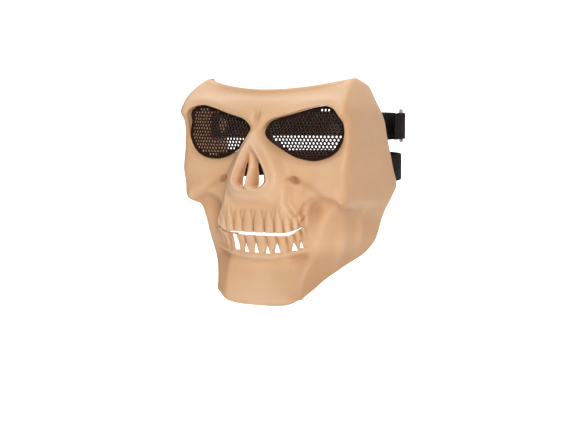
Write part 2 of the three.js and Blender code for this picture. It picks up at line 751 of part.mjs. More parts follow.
function stud(hold) {
  const inner = -strapThickness / 2 - fitGap;
  const profile = [
    [0, inner - studThickness], [studHead / 2, inner - studThickness], [studHead / 2, inner],
    [studShank / 2, inner], [studShank / 2, hold.reach], [0, hold.reach],
  ].map(([radius, along]) => new THREE.Vector2(radius, along));
  return new THREE.LatheGeometry(profile, 12);
}

// The middle of a strap end's fixing, the direction out through the shell and how far it reaches that way
function studHold(strap) {
  const curve = strapCurve(strap);
  const start = curve.getPointAt(0);
  const end = curve.getPointAt(tuckedShare(curve));
  const at = start.clone().lerp(end, 0.5);
  const out = outwardOf(end.sub(start));
  const spread = [-studShank / 2, 0, studShank / 2];
  const walls = spread.flatMap((y) => spread.map((z) => insideWall(at.y + y, strap.height + z).x));
  const reach = (Math.min(...walls) - at.x) * out.x - fitGap;
  return { at, out, reach };
}

function studTurn(out) {
  return new THREE.Quaternion().setFromUnitVectors(new THREE.Vector3(0, 1, 0), out);
}

function strapSolid(strap) {
  const { at, out } = studHold(strap);
  const reach = 4 * strapThickness;
  const hole = new THREE.CylinderGeometry(studShank / 2 + fitGap, studShank / 2 + fitGap, reach, 12);
  hole.applyQuaternion(studTurn(out)).translate(at.x, at.y, at.z);
  return ribbon(strapStops(strap)).subtract(solidOf(hole)).subtract(solidOf(mirrored(hole)));
}

// Flat three-bar slider with two slots, drawn lying flat and stood up against the strap
function slider() {
  const { spot, along, out } = sliderPlace();
  const half = sliderLength / 2;
  const top = strapWidth / 2 + fitGap + sliderBar;
  const shape = roundedBox(-half, -top, half, top, sliderBar);
  const slotTop = strapWidth / 2 + fitGap;
  for (const side of [-1, 1]) {
    const [near, far] = [sliderBar / 2, half - sliderBar].map((x) => side * x);
    shape.holes.push(roundedBox(Math.min(near, far), -slotTop, Math.max(near, far), slotTop, 0.8));
  }
  const options = { depth: sliderThickness, bevelEnabled: false, curveSegments: 2 };
  const geometry = new THREE.ExtrudeGeometry(shape, options);
  geometry.translate(0, 0, -sliderThickness / 2);
  const basis = new THREE.Matrix4().makeBasis(along, new THREE.Vector3(0, 0, 1), out);
  const mesh = named("strap_slider", geometry, paint.slider);
  mesh.quaternion.setFromRotationMatrix(basis);
  mesh.position.copy(spot).addScaledVector(out, sliderOffset);
  return mesh;
}

function roundedBox(left, low, right, high, radius) {
  const shape = new THREE.Shape();
  shape.moveTo(left + radius, low);
  shape.lineTo(right - radius, low).absarc(right - radius, low + radius, radius, -Math.PI / 2, 0);
  shape.lineTo(right, high - radius).absarc(right - radius, high - radius, radius, 0, Math.PI / 2);
  shape.lineTo(left + radius, high).absarc(left + radius, high - radius, radius, Math.PI / 2, Math.PI);
  shape.lineTo(left, low + radius).absarc(left + radius, low + radius, radius, Math.PI, Math.PI * 1.5);
  return shape;
}

const paint = {
  shell: new THREE.MeshStandardMaterial({ color: 0xdcb896, roughness: 0.6, metalness: 0 }),
  mesh: new THREE.MeshStandardMaterial({ color: 0x2c1d17, roughness: 0.45, metalness: 0.6 }),
  webbing: new THREE.MeshStandardMaterial({ color: 0x241c18, roughness: 0.9, metalness: 0 }),
  slider: new THREE.MeshStandardMaterial({ color: 0xb09a8c, roughness: 0.6, metalness: 0 }),
  stud: new THREE.MeshStandardMaterial({ color: 0xcaa685, roughness: 0.6, metalness: 0 }),
};

function named(name, geometry, material) {
  const mesh = new THREE.Mesh(geometry, material);
  mesh.name = name;
  return mesh;
}

const mask = new THREE.Group();
mask.add(named("mask_shell", maskShell(), paint.shell));

const plate = eyePlate();
mask.add(named("eye_mesh_left", plate, paint.mesh), named("eye_mesh_right", mirrored(plate), paint.mesh));

const upperStrap = strapSolid(upper).add(ribbon(tailStops()));
mask.add(named("upper_strap", geometryOf(upperStrap), paint.webbing));
mask.add(named("lower_strap", geometryOf(strapSolid(lower)), paint.webbing));
mask.add(slider());

for (const strap of [upper, lower]) {
  const hold = studHold(strap);
  const left = stud(hold).applyQuaternion(studTurn(hold.out)).translate(...hold.at);
  mask.add(named(`${strap.name}_strap_stud_left`, left, paint.stud));
  mask.add(named(`${strap.name}_strap_stud_right`, mirrored(left), paint.stud));
}

export default mask;
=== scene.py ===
"""Skull mask: a moulded shell with perforated eye plates and two elastic straps.

Sizes are in millimetres until a mesh is made. +X is the wearer's left, the face looks along -Y.
"""

import math

import bmesh
import bpy
import numpy as np
from bpy.props import FloatProperty, FloatVectorProperty, IntProperty, PointerProperty
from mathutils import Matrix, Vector
from mathutils.geometry import delaunay_2d_cdt


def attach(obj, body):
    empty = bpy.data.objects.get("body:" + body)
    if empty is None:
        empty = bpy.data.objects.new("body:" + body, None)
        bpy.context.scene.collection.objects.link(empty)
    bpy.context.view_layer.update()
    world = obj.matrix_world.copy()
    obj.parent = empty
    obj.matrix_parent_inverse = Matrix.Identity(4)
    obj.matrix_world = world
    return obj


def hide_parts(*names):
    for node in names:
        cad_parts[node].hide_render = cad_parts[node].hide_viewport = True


bl_info = {
    "name": "Skull Mask",
    "version": (1, 0, 0),
    "blender": (4, 5, 0),
    "location": "3D View > Sidebar > Skull Mask",
    "description": "Builds a moulded skull mask with perforated eye plates and elastic straps",
    "category": "Object",
}

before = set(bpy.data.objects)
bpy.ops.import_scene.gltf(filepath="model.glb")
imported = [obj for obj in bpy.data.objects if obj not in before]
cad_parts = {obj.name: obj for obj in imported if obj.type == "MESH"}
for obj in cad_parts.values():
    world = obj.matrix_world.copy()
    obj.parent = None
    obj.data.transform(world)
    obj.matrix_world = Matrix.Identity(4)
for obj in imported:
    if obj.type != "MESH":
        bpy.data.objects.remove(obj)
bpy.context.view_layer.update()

MM = 0.001

# Shell sizes
FACE_WIDTH = 174
FACE_HEIGHT = 200
FACE_DEPTH = 118
CHIN_DROP = 154
WALL = 2.8
FIT_GAP = 0.3

# Sizes of the face's large forms
EYE_WIDTH = 69
EYE_HEIGHT = 48
BROW_RECESS = 7
BROW_RECESS_STRETCH = (-0.15, 0.25)
CHEEK_RECESS = 2.5
CHEEK_SLOPE = 6
COLLAR_WALL = 2
COLLAR_FRONT = WALL * 0.75
NOSE_RISE = 14
NOSE_FOOT_DROP = 0.25
NOSE_SLOPE = 16
NOSE_SINK = 6.5
BLADE_RISE = 4
BLADE_FOOT_RISE = 9
BLADE_FOOT_SPAN = 0.1
BLADE_SPREAD = 3.6
NOSE_SINK_REACH = 5
FOSSA_DEPTH = 6.5
FOSSA_EDGE = 6
FOSSA_SLANT = 0.55
CREASE_SPREAD = 4
CREASE_HOLLOW = 13
CREASE_FADE = 8
CHEEK_RISE = 1.6
CHEEK_OVER = 10
CHEEK_SPREAD = 7
BITE_GAP = 2.8
MOUTH_INSET = 3.5
MOUTH_NARROWING = {"share": 0.5, "stretch": (0.7, 1)}
BITE_NOTCH = {"stretch": (0.6, 1), "low": 0.36, "high": 0.63}

# Eye plate, strap and fitting sizes
PLATE_THICKNESS = 1.2
PLATE_SINK = 0.8
PLATE_DOME = 3
PLATE_BORDER = 2
PLATE_RIM = 0.9
RIM_WIDTH = 0.7
DOME_REACH = 0.35 * EYE_HEIGHT
HOLE_SIDES = 10
STRAP_WIDTH = 24
STRAP_THICKNESS = 1.5
STRAP_TUCK = 26
TUCK_SHARES = (1, 0.66, 0.33)
UPPER_STRAP = {"height": 2, "width": 157, "length": 190, "lean": math.radians(8)}
LOWER_STRAP = {"height": -36, "width": 163, "length": 200, "lean": 0.0}
STRAP_ANGLES = [18, 34, 50, 66, 78, 90]
STRAP_EDGE = (0.5, 0.1)
STRAP_STEPS = 120
TAIL_LENGTH = 30
SLIDER_REACH = 92
SLIDER_LENGTH = 28
SLIDER_THICKNESS = 2
SLIDER_BAR = 3


def across(share):
    """Place across the face, from a share of its half width."""
    return np.asarray(share, float) * FACE_WIDTH / 2


def ahead(share):
    """Place ahead of the ears, from a share of the depth."""
    return -np.asarray(share, float) * FACE_DEPTH


def aloft(share):
    """Height, from a share of the face's height above the chin."""
    return np.asarray(share, float) * FACE_HEIGHT - CHIN_DROP


# Half sections of the shell from chin to crown, from the middle round to the rear edge, as shares
SECTION_TURNS = [0, 0.31, 0.5, 0.68, 0.84, 1]
SECTIONS = [
    {"z": 0.0, "x": [0, 0.17, 0.3, 0.415, 0.45, 0.465], "y": [0.81, 0.81, 0.81, 0.8, 0.78, 0.755]},
    {"z": 0.035, "x": [0, 0.22, 0.37, 0.48, 0.51, 0.52], "y": [0.835, 0.835, 0.825, 0.8, 0.765, 0.735]},
    {"z": 0.095, "x": [0, 0.24, 0.39, 0.49, 0.54, 0.58], "y": [0.82, 0.82, 0.81, 0.785, 0.72, 0.635]},
    {"z": 0.165, "x": [0, 0.265, 0.42, 0.535, 0.61, 0.7], "y": [0.79, 0.79, 0.77, 0.74, 0.6, 0.4]},
    {"z": 0.22, "x": [0, 0.31, 0.455, 0.6, 0.725, 0.82], "y": [0.82, 0.785, 0.735, 0.7, 0.455, 0.22]},
    {"z": 0.28, "x": [0, 0.345, 0.49, 0.655, 0.81, 0.895], "y": [0.84, 0.79, 0.742, 0.695, 0.405, 0.15]},
    {"z": 0.355, "x": [0, 0.36, 0.53, 0.705, 0.88, 0.925], "y": [0.88, 0.855, 0.745, 0.695, 0.375, 0.095]},
    {"z": 0.42, "x": [0, 0.36, 0.585, 0.79, 0.95, 0.965], "y": [0.885, 0.885, 0.725, 0.705, 0.33, 0.06]},
    {"z": 0.465, "x": [0, 0.36, 0.645, 0.925, 0.98, 0.99], "y": [0.885, 0.89, 0.74, 0.72, 0.345, 0.015]},
    {"z": 0.52, "x": [0, 0.355, 0.66, 0.945, 0.99, 1.01], "y": [0.865, 0.86, 0.77, 0.73, 0.365, -0.04]},
    {"z": 0.59, "x": [0, 0.345, 0.66, 0.955, 0.99, 1.0], "y": [0.84, 0.815, 0.78, 0.755, 0.38, 0.005]},
    {"z": 0.695, "x": [0, 0.33, 0.66, 0.97, 0.985, 0.99], "y": [0.825, 0.78, 0.745, 0.715, 0.38, 0.07]},
    {"z": 0.8, "x": [0, 0.33, 0.66, 0.96, 0.975, 0.965], "y": [0.835, 0.81, 0.755, 0.715, 0.405, 0.13]},
    {"z": 0.85, "x": [0, 0.33, 0.66, 0.955, 0.965, 0.95], "y": [0.82, 0.805, 0.79, 0.78, 0.44, 0.17]},
    {"z": 0.9, "x": [0, 0.33, 0.66, 0.95, 0.95, 0.93], "y": [0.775, 0.77, 0.745, 0.74, 0.44, 0.22]},
    {"z": 0.96, "x": [0, 0.31, 0.645, 0.895, 0.91, 0.89], "y": [0.72, 0.7, 0.645, 0.625, 0.44, 0.265]},
    {"z": 1.0, "x": [0, 0.31, 0.62, 0.82, 0.85, 0.855], "y": [0.705, 0.67, 0.595, 0.515, 0.47, 0.44]},
]
SECTION_HEIGHTS = aloft([row["z"] for row in SECTIONS])
SECTION_BLEND = 0.06
BLEND_STEPS = (-1, -0.5, 0, 0.5, 1)
CHIN_LIFT = 0.032
CHIN_REACH = 0.45
CHIN_FADE = 0.1
TOP_DIP = 0.05
TOP_DIP_START = 0.87
TOP_DIP_REACH = 0.86

# Eye opening about its middle, nose rim and nostril in the wearer's left half, as shares
EYE_MIDDLE = (float(across(0.494)), float(aloft(0.76)))
EYE_OUTLINE = [
    (-0.525, 0.08), (-0.455, 0.22), (-0.18, 0.345), (0.085, 0.46), (0.275, 0.5), (0.43, 0.425),
    (0.51, 0.2), (0.51, -0.06), (0.415, -0.33), (0.275, -0.455), (0.08, -0.5), (-0.13, -0.44),
    (-0.36, -0.25), (-0.495, -0.05),
]
NOSE_RIM = [
    (0, 0.7175), (0.036, 0.7), (0.068, 0.675), (0.122, 0.63), (0.172, 0.585), (0.19, 0.55),
    (0.13, 0.5225), (0, 0.5175),
]
NOSTRIL = [
    (0.048, 0.638), (0.07, 0.636), (0.104, 0.6), (0.122, 0.57), (0.122, 0.54), (0.1, 0.526),
    (0.07, 0.53), (0.06, 0.565),
]

# Hollow beside the nose: inner edge and outer fade of the half width, middle and spread of the height
FOSSA = {"inner": 0.325, "outer": 0.5, "fade": 0.2, "middle": 0.465, "spread": 0.095}

# Teeth: edges from the middle outwards as shares of the half width, then each row's lengths, rise, root fork,
# and the strength of its painted shade in the grooves and at the root tips
TOOTH_EDGES = [0, 0.124, 0.233, 0.328, 0.408, 0.471, 0.523]
UPPER_TEETH = {"lengths": [19, 18, 21, 17, 14, 12], "rise": 1, "fork": 2.2, "tint": 0.75, "root_tip_shade": 0.5}
LOWER_TEETH = {"lengths": [14, 14.5, 16, 14, 12, 11], "rise": 0.9, "fork": 0, "tint": 0.45, "root_tip_shade": 0}
BITE_HEIGHT = 0.32
BITE_CURL = 0.036
BITE_CURL_START = 0.3
BITE_CURL_REACH = 0.18
LOWER_GUM = 0.225
TOOTH_GAPS = [
    {"middle": -0.13, "width": 0.076, "low": 0.234, "high": 0.278},
    {"middle": -0.01, "width": 0.068, "low": 0.234, "high": 0.284},
    {"middle": 0.117, "width": 0.066, "low": 0.233, "high": 0.27},
    {"middle": 0.218, "width": 0.08, "low": 0.238, "high": 0.28},
    {"middle": 0.385, "width": 0.072, "low": 0.248, "high": 0.288},
    {"middle": 0.45, "width": 0.05, "low": 0.26, "high": 0.296},
]
GAP_TOP = 0.2
GAP_ROUND = 0.4
MISSING_TOOTH = {"left": -0.312, "right": -0.224, "low": 0.242, "slant": 0.22}

# Fold under the cheekbone: places across and heights as shares, outwards from the nose
CREASE_ACROSS = [0.45, 0.494, 0.523, 0.575, 0.655, 0.759, 0.84, 0.86, 0.9, 0.945, 1.03]
CREASE_HEIGHTS = [0.37, 0.404, 0.434, 0.455, 0.4695, 0.4615, 0.444, 0.428, 0.421, 0.44, 0.45]
CREASE_ENDS = (0.45, 0.9)
CREASE_DEPTH = 3.2
# Width of the line of painted shade along the fold
CREASE_SHADE_LINE = 2.2

# Shape of a tooth: stretches of its length counted from the bite, then sizes
CROWN = (0, 0.7)
CROWN_SQUARENESS = 3.6
ROOT_SQUARENESS = 1.8
CROWN_FADE = (0.2, 0.7)
CROWN_FADE_SHARE = 0.45
ROOT_FADE = (0.75, 1.35)
ROOT_FORK = (0.5, 1.05)
# Painted shade at the tip of each root: its middle along the tooth, its spread and its width
ROOT_TIP_SHADE = {"middle": 1.05, "spread": 0.12, "width": 1.1}
CUTTING_EDGE = {"round": 1.5, "start": 0.15}
TOOTH_GROOVE = {"width": 0.7, "widening": 0.2, "start": 2, "end": (0.95, 1.3)}
# Stretch up the root over which the painted shade in the grooves lightens, and by how much
GROOVE_SHADE_FADE = {"share": 0.3, "stretch": (0.5, 0.7)}
GUM_POINT = {"rise": 0.6, "width": 0.4, "widening": 0.7, "start": (0.55, 0.75), "end": (0.9, 1.4)}
MOUTH_CORNER = 3

# Ledge under the lower teeth, with its shares of the half width, and the hollow under it
GUM_LEDGE = {"drop": 2, "curl": 6, "reach": 0.46, "fade": 0.1, "rise": 1.7, "spread": 2.0}
GUM_HOLLOW = {"drop": 5, "depth": 1.1, "spread": 2.6}

# Opening in the bone under each eye, the nub in it, the fold over it and the border of bone beside it
BONE_PIT = {"side": 36.2, "height": -42.9, "length": 3.6, "width": 2.2, "depth": 2.0}
PIT_AXIS = (0.86, 0.5)
PIT_NUB = {"along": 1.5, "rise": 0.9, "spread": 1.2}
PIT_FOLD = {"side": 34, "reach": 6, "top": 35.5, "height": -40.4, "droop": 0.05, "spread": 1.5, "depth": 0.9}
BORDER_ACROSS = [30, 41, 49.5, 58, 68]
BORDER_HEIGHTS = [-41.5, -44.6, -48.7, -53.9, -61]
BONE_BORDER = {"spread": 4.2, "start": (31, 36), "end": (56, 66), "rise": 0.8}
# Painted shade: darkest in the pit, lighter on the nub, and along the border and the fold
PIT_SHADE = {"pit": 0.9, "nub": 0.6, "border": 0.2, "fold": 0.3}

# Band of bone over each eye and the frown fold between them
BROW_BAND = {"rise": 1.3, "out": 5.5, "spread": 4, "start": (-0.1, 0.2)}
FROWN = {"depth": 1.5, "side": 1.5, "width": 2.2, "height": 12.5, "reach": 5}

# Upright edge at each side of the chin and the dent between, with shares of the face's height
CHIN_EDGE = {"rise": 0.9, "side": 31, "width": 4.5, "top": 0.17, "fade": 12}
CHIN_DENT = {"depth": 0.7, "side": 13, "width": 7, "height": float(aloft(0.13)), "reach": 9}

# Swellings on the side of the jaw, from the front one back
JAW_SWELLS = [
    {"rise": 1.9, "y": -64, "width": 5, "height": -98, "reach": 17},
    {"rise": 1.8, "y": -45, "width": 4.5, "height": -88, "reach": 13},
]
JAW_LEAN = 0.25
JAW_START = (46, 54)

# Bead round the nose opening, the groove outside it and the hollow inside it
NOSE_BEAD = {"rise": 2.2, "out": 0.2, "width": 1.5}
NOSE_GROOVE = {"depth": 0.7, "out": 4.2, "width": 1.8}
NOSE_HOLLOW = {"depth": 0.8, "start": (1.2, 3.7), "blade": 4.5}

# Painted shade in the folds, painted highlight on the crests, and broad patches of painted light and shade on
# the face
# Painted shade in the tooth grooves, the cheek fold, the frown fold, the nose hollow and under the top edge
FOLD_SHADE = {"teeth": 0.75, "cheek": 0.25, "frown": 0.25, "nose": 0.4, "top": 0.6}
# Line of painted shade under the middle of the top edge
TOP_SHADE_LINE = {"drop": 3, "width": 0.8, "reach": 70}
# Patches of painted light and shade: shade in the hollow beside the nose, highlights on the upper lip and the
# cheekbones
PAINTED_LIGHT_PATCHES = [
    {"tint": 0.12, "side": float(across(0.46)), "width": 8, "height": float(aloft(0.43)), "reach": 13},
    {"tint": -0.24, "side": 0, "width": 26, "height": float(aloft(0.46)), "reach": 9},
    {"tint": -0.21, "side": 70, "width": 14, "height": float(aloft(0.6)), "reach": 18},
]
# Painted shade under the cheekbone fold
CHEEK_SHADE = {"tint": 0.2, "across": (36, 88), "start": (0, 5), "end": (14, 40), "side": (38, 46)}
# Painted shade on the sides of the chin and painted highlight on its front
CHIN_SHADING = {"tint": 0.44, "side": (27, 34), "top": 0.2, "fade": 18, "crest_highlight": 0.3, "crest_highlight_width": 24}
# Painted highlight over the brow and forehead
BROW_HIGHLIGHT = {"tint": -0.28, "start": 0.84, "fade": 14}
# Painted shade on the sides, lifted by a painted highlight on the jaw swellings
SIDE_SHADING = {"tint": 0.26, "side": (56, 80), "front": (-52, 8), "jaw": 0.17}
# Painted shade in broad and fine hollows and painted highlight on crests, in front of a depth
HOLLOW_SHADING = {"broad": 0.05, "fine": 0.3, "rear": 0.4}
# Palest the painted highlight may go
PALEST_HIGHLIGHT = -0.5
OUTSIDE_FACING = (-0.2, 0.2)

# Grid of the shell: its columns as turns and its rows as heights, each with stops and spacings
COLUMN_STOPS = [0, 0.34, 0.5, 0.68, 0.84, 1]
COLUMN_SPACINGS = [0.0072, 0.0064, 0.0065, 0.0062, 0.0066]
REAR_COLUMNS = (0.3, 0.7, 1.2)
TEETH_ROWS = (-112, -66)
ROW_SPACINGS = [1.3, 0.66, 0.98]
END_ROWS = (0.25, 0.55, 0.9)

# Tables of the face: reach across, heights at the eyes, cell size and turns of their columns
TABLE_REACH = 84
TABLE_HEIGHTS = (-60, 40)
TABLE_CELL = 0.5
TABLE_TURNS = np.linspace(0, 0.84, 420)
HOLLOW_BLURS = {"broad": 9, "fine": 2}
HOLLOW_FADE = 8

# Rims, edges and the cut through the front as shares of the depth
OPENING_CUT = (1.15, 0.4)
REAR_LENGTH = 262
EDGE_ROUND = 1.1
TOP_STEP = {"drop": 2.6, "slope": 0.7, "reach": (66, 70)}

TURN_STEP = 0.004
HEIGHT_STEP = 0.5

# Lights and camera, in metres
MASK_MIDDLE = (0, -0.05, -0.05)
LIGHTS = {
    "key": {"spot": (1.05, -1.72, 0.85), "target": MASK_MIDDLE, "size": 0.8},
    "fill": {"spot": (-1.5, -1.4, 1.0), "target": MASK_MIDDLE, "size": 1.2},
    "paper_wash": {"spot": (-0.9, 0.7, 1.4), "target": (-1.7, 3.3, 0.3), "size": 3},
    "floor_wash": {"spot": (-0.9, 1.2, 2.2), "target": (-1.1, 1.3, -0.3), "size": 3},
}
CAMERA = {"spot": (0.65703, -1.23570, 0.03665), "target": (-0.00864, -0.01326, -0.08555)}


# Curves and outlines

def smooth(value):
    """Ease from 0 to 1."""
    t = np.clip(value, 0, 1)
    return t * t * (3 - 2 * t)


def eased(value, stretch):
    """Ease from 0 at the start of a stretch to 1 at its end."""
    start, end = stretch
    return smooth((value - start) / (end - start))


def bump(offset, spread):
    """Rounded rise about a place."""
    return np.exp(-((offset / spread) ** 2))


def patch(side, z, spot):
    """Soft oval patch about a place on each half of the face."""
    return bump(side - spot["side"], spot["width"]) * bump(z - spot["height"], spot["reach"])


def curve_through(xs, ys, x):
    """Smooth curve through points that never overshoots them."""
    xs = np.asarray(xs, float)
    ys = np.asarray(ys, float)
    slopes = np.diff(ys) / np.diff(xs)
    tangents = np.concatenate(([slopes[0]], np.zeros(len(xs) - 2), [slopes[-1]]))
    product = slopes[:-1] * slopes[1:]
    rising = product > 0
    total = (slopes[:-1] + slopes[1:])[rising]
    tangents[1:-1][rising] = 2 * product[rising] / total
    i = np.clip(np.searchsorted(xs, x) - 1, 0, len(xs) - 2)
    span = xs[i + 1] - xs[i]
    t = np.clip((x - xs[i]) / span, 0, 1)
    u = 1 - t
    start = ys[i] * (1 + 2 * t) + tangents[i] * span * t
    end = ys[i + 1] * (1 + 2 * u) - tangents[i + 1] * span * u
    return start * u * u + end * t * t


def rounded_route(points, closed, steps):
    """Smooth route through points in any number of dimensions, with steps to each stretch."""
    points = np.asarray(points, float)
    if closed:
        padded = np.vstack([points[-1], points, points[0], points[1]])
    else:
        padded = np.vstack([2 * points[0] - points[1], points, 2 * points[-1] - points[-2]])
    route = []
    for before, start, end, after in zip(padded, padded[1:], padded[2:], padded[3:]):
        stretches = ((before, start), (start, end), (end, after))
        gaps = [max(np.linalg.norm(b - a), 1e-6) ** 0.5 for a, b in stretches]
        leave = (start - before) / gaps[0] - (end - before) / (gaps[0] + gaps[1]) + (end - start) / gaps[1]
        arrive = (end - start) / gaps[1] - (after - start) / (gaps[1] + gaps[2]) + (after - end) / gaps[2]
        for i in range(steps):
            t = i / steps
            route.append(
                start * (2 * t**3 - 3 * t**2 + 1)
                + leave * gaps[1] * (t**3 - 2 * t**2 + t)
                + end * (3 * t**2 - 2 * t**3)
                + arrive * gaps[1] * (t**3 - t**2)
            )
    if not closed:
        route.append(points[-1])
    return np.array(route)


def inside_by(outline, x, z):
    """Signed distance from a closed outline, positive inside it."""
    nearest = np.full(np.shape(x), np.inf)
    inside = np.zeros(np.shape(x), bool)
    for start, end in zip(outline, np.roll(outline, -1, axis=0)):
        edge = end - start
        along = ((x - start[0]) * edge[0] + (z - start[1]) * edge[1]) / (edge @ edge)
        t = np.clip(along, 0, 1)
        nearest = np.minimum(nearest, np.hypot(x - start[0] - t * edge[0], z - start[1] - t * edge[1]))
        if edge[1] != 0:
            crosses = ((start[1] > z) != (end[1] > z)) & (x < start[0] + (z - start[1]) / edge[1] * edge[0])
            inside ^= crosses
    return np.where(inside, nearest, -nearest)


def mirror_outline(outline):
    """The same outline in the other half of the face."""
    return outline[::-1] * np.array([-1, 1])


def inset_outline(outline, inset):
    """Outline drawn in by a distance, or out by a negative one."""
    edge = np.roll(outline, -1, axis=0) - np.roll(outline, 1, axis=0)
    edge /= np.linalg.norm(edge, axis=1, keepdims=True)
    area = np.sum(outline[:, 0] * np.roll(outline[:, 1], -1) - np.roll(outline[:, 0], -1) * outline[:, 1])
    return outline + inset * np.sign(area) * np.stack([-edge[:, 1], edge[:, 0]], axis=1)


LEFT_EYE = rounded_route(
    [(EYE_MIDDLE[0] + x * EYE_WIDTH, EYE_MIDDLE[1] + z * EYE_HEIGHT) for x, z in EYE_OUTLINE], True, 9
)
NOSE_HALF = [(float(across(x)), float(aloft(z))) for x, z in NOSE_RIM]
NOSE_OUTLINE = rounded_route(NOSE_HALF + [(-x, z) for x, z in NOSE_HALF[-2:0:-1]], True, 4)
NOSE_TOP = NOSE_HALF[0][1]
NOSE_FOOT = NOSE_HALF[-1][1]


# The face

def softened(stops, values, turns):
    """Section curve averaged over a short stretch, which rounds its corners but not its rear end."""
    reach = np.clip(1 - turns, 0, SECTION_BLEND)
    return sum(curve_through(stops, values, turns + step * reach) for step in BLEND_STEPS) / len(BLEND_STEPS)


def top_dip(x):
    """How far the top edge dips at a place across."""
    return TOP_DIP * FACE_HEIGHT * np.maximum(0, 1 - (x / across(TOP_DIP_REACH)) ** 2)


def plain_face(turns, heights):
    """Points of the face before its features are raised, in rows of height and columns of turn."""
    turns = np.asarray(turns, float)
    heights = np.asarray(heights, float)

    def stations(axis, place):
        rows = [place([row[axis][i] for row in SECTIONS]) for i in range(len(SECTION_TURNS))]
        return np.array([curve_through(SECTION_HEIGHTS, row, heights) for row in rows])

    across_stations, ahead_stations = stations("x", across), stations("y", ahead)
    stops = [-SECTION_TURNS[1], *SECTION_TURNS]
    points = np.zeros((len(heights), len(turns), 3))
    for row, height in enumerate(heights):
        xs = across_stations[:, row]
        ys = ahead_stations[:, row]
        x = softened(stops, [-xs[1], *xs], np.abs(turns))
        fade = smooth((height - aloft(TOP_DIP_START)) / (aloft(1) - aloft(TOP_DIP_START)))
        chin = 1 - smooth((height - aloft(0)) / (CHIN_FADE * FACE_HEIGHT))
        lift = CHIN_LIFT * FACE_HEIGHT * np.minimum(1, x / across(CHIN_REACH)) ** 4 * chin
        points[row, :, 0] = np.sign(turns) * x
        points[row, :, 1] = softened(stops, [ys[1], *ys], np.abs(turns))
        points[row, :, 2] = height - top_dip(x) * fade + lift
    return points


def unit(directions):
    """Directions of length one; one of no length stays as it is."""
    return directions / np.maximum(np.linalg.norm(directions, axis=-1, keepdims=True), 1e-9)


def plan_normals(turns, heights):
    """Level directions out of the face."""
    along = plain_face(turns + TURN_STEP, heights) - plain_face(turns - TURN_STEP, heights)
    normals = np.stack([along[..., 1], -along[..., 0], np.zeros(along.shape[:2])], axis=-1)
    return unit(normals)


def under_brow(z):
    """How far up under the brow a height lies within the eye opening, from 0 to 1."""
    return eased((z - EYE_MIDDLE[1]) / EYE_HEIGHT, BROW_RECESS_STRETCH)


def large_forms(x, z):
    """Rise of the nose, the eye slopes and the hollows beside the nose."""
    side = np.abs(x)
    nose_distance = inside_by(NOSE_OUTLINE, x, z)
    foot = 1 - NOSE_FOOT_DROP * smooth((NOSE_TOP - z) / (NOSE_TOP - NOSE_FOOT))
    rise = NOSE_RISE * foot * smooth((nose_distance + NOSE_SLOPE) / NOSE_SLOPE)
    rise -= NOSE_SINK * smooth(nose_distance / NOSE_SINK_REACH)

    eye_distance = inside_by(LEFT_EYE, side, z)
    rise -= CHEEK_RECESS * (1 - under_brow(z)) * smooth((eye_distance + CHEEK_SLOPE) / CHEEK_SLOPE)

    inner_edge = across(FOSSA["inner"]) + FOSSA_SLANT * np.maximum(0, aloft(FOSSA["middle"]) - z)
    inward = smooth((side - inner_edge) / FOSSA_EDGE)
    outward = 1 - smooth((side - across(FOSSA["outer"])) / across(FOSSA["fade"]))
    rise -= FOSSA_DEPTH * inward * outward * bump(z - aloft(FOSSA["middle"]), FOSSA["spread"] * FACE_HEIGHT)
    return rise + cheek_fold(side, z)[0]


def cheek_fold(side, z):
    """Swell of the cheekbone with the fold under it, and how strongly each place along the fold takes painted
    shade.
    """
    start, end = across(CREASE_ENDS)
    along = smooth((side - start) / CREASE_FADE) * (1 - smooth((side - end) / CREASE_FADE))
    above = z - curve_through(across(CREASE_ACROSS), aloft(CREASE_HEIGHTS), side)
    hollow = along * bump(above, np.where(above < 0, CREASE_HOLLOW, CREASE_SPREAD))
    swell = along * CHEEK_RISE * bump(above - CHEEK_OVER, CHEEK_SPREAD)
    return swell - CREASE_DEPTH * hollow, along * bump(above + 0.5, CREASE_SHADE_LINE)


def formed_face(turns, heights):
    """The face with its large forms only."""
    plain = plain_face(turns, heights)
    return plain + plan_normals(turns, heights) * large_forms(plain[..., 0], plain[..., 2])[..., None]


def inner_face(turns, heights):
    """The inside of the wall."""
    along = formed_face(turns + TURN_STEP, heights) - formed_face(turns - TURN_STEP, heights)
    up = formed_face(turns, heights + HEIGHT_STEP) - formed_face(turns, heights - HEIGHT_STEP)
    return formed_face(turns, heights) - WALL * unit(np.cross(along, up))


def bite_at(x):
    """Height of the bite line, curling up at the corners of the mouth."""
    curl = np.clip((np.abs(x) - across(BITE_CURL_START)) / across(BITE_CURL_REACH), 0, 1)
    return aloft(BITE_HEIGHT + BITE_CURL * curl**2)


def tooth_at(x):
    """The number of the tooth at a place, how far it is from the tooth's middle, and if there is one."""
    side = np.abs(x)
    edges = across(TOOTH_EDGES)
    tooth = np.clip(np.searchsorted(edges, side, side="right") - 1, 0, len(edges) - 2)
    half = (edges[tooth + 1] - edges[tooth]) / 2
    return tooth, np.abs(side - edges[tooth] - half) / half, side < edges[-1]


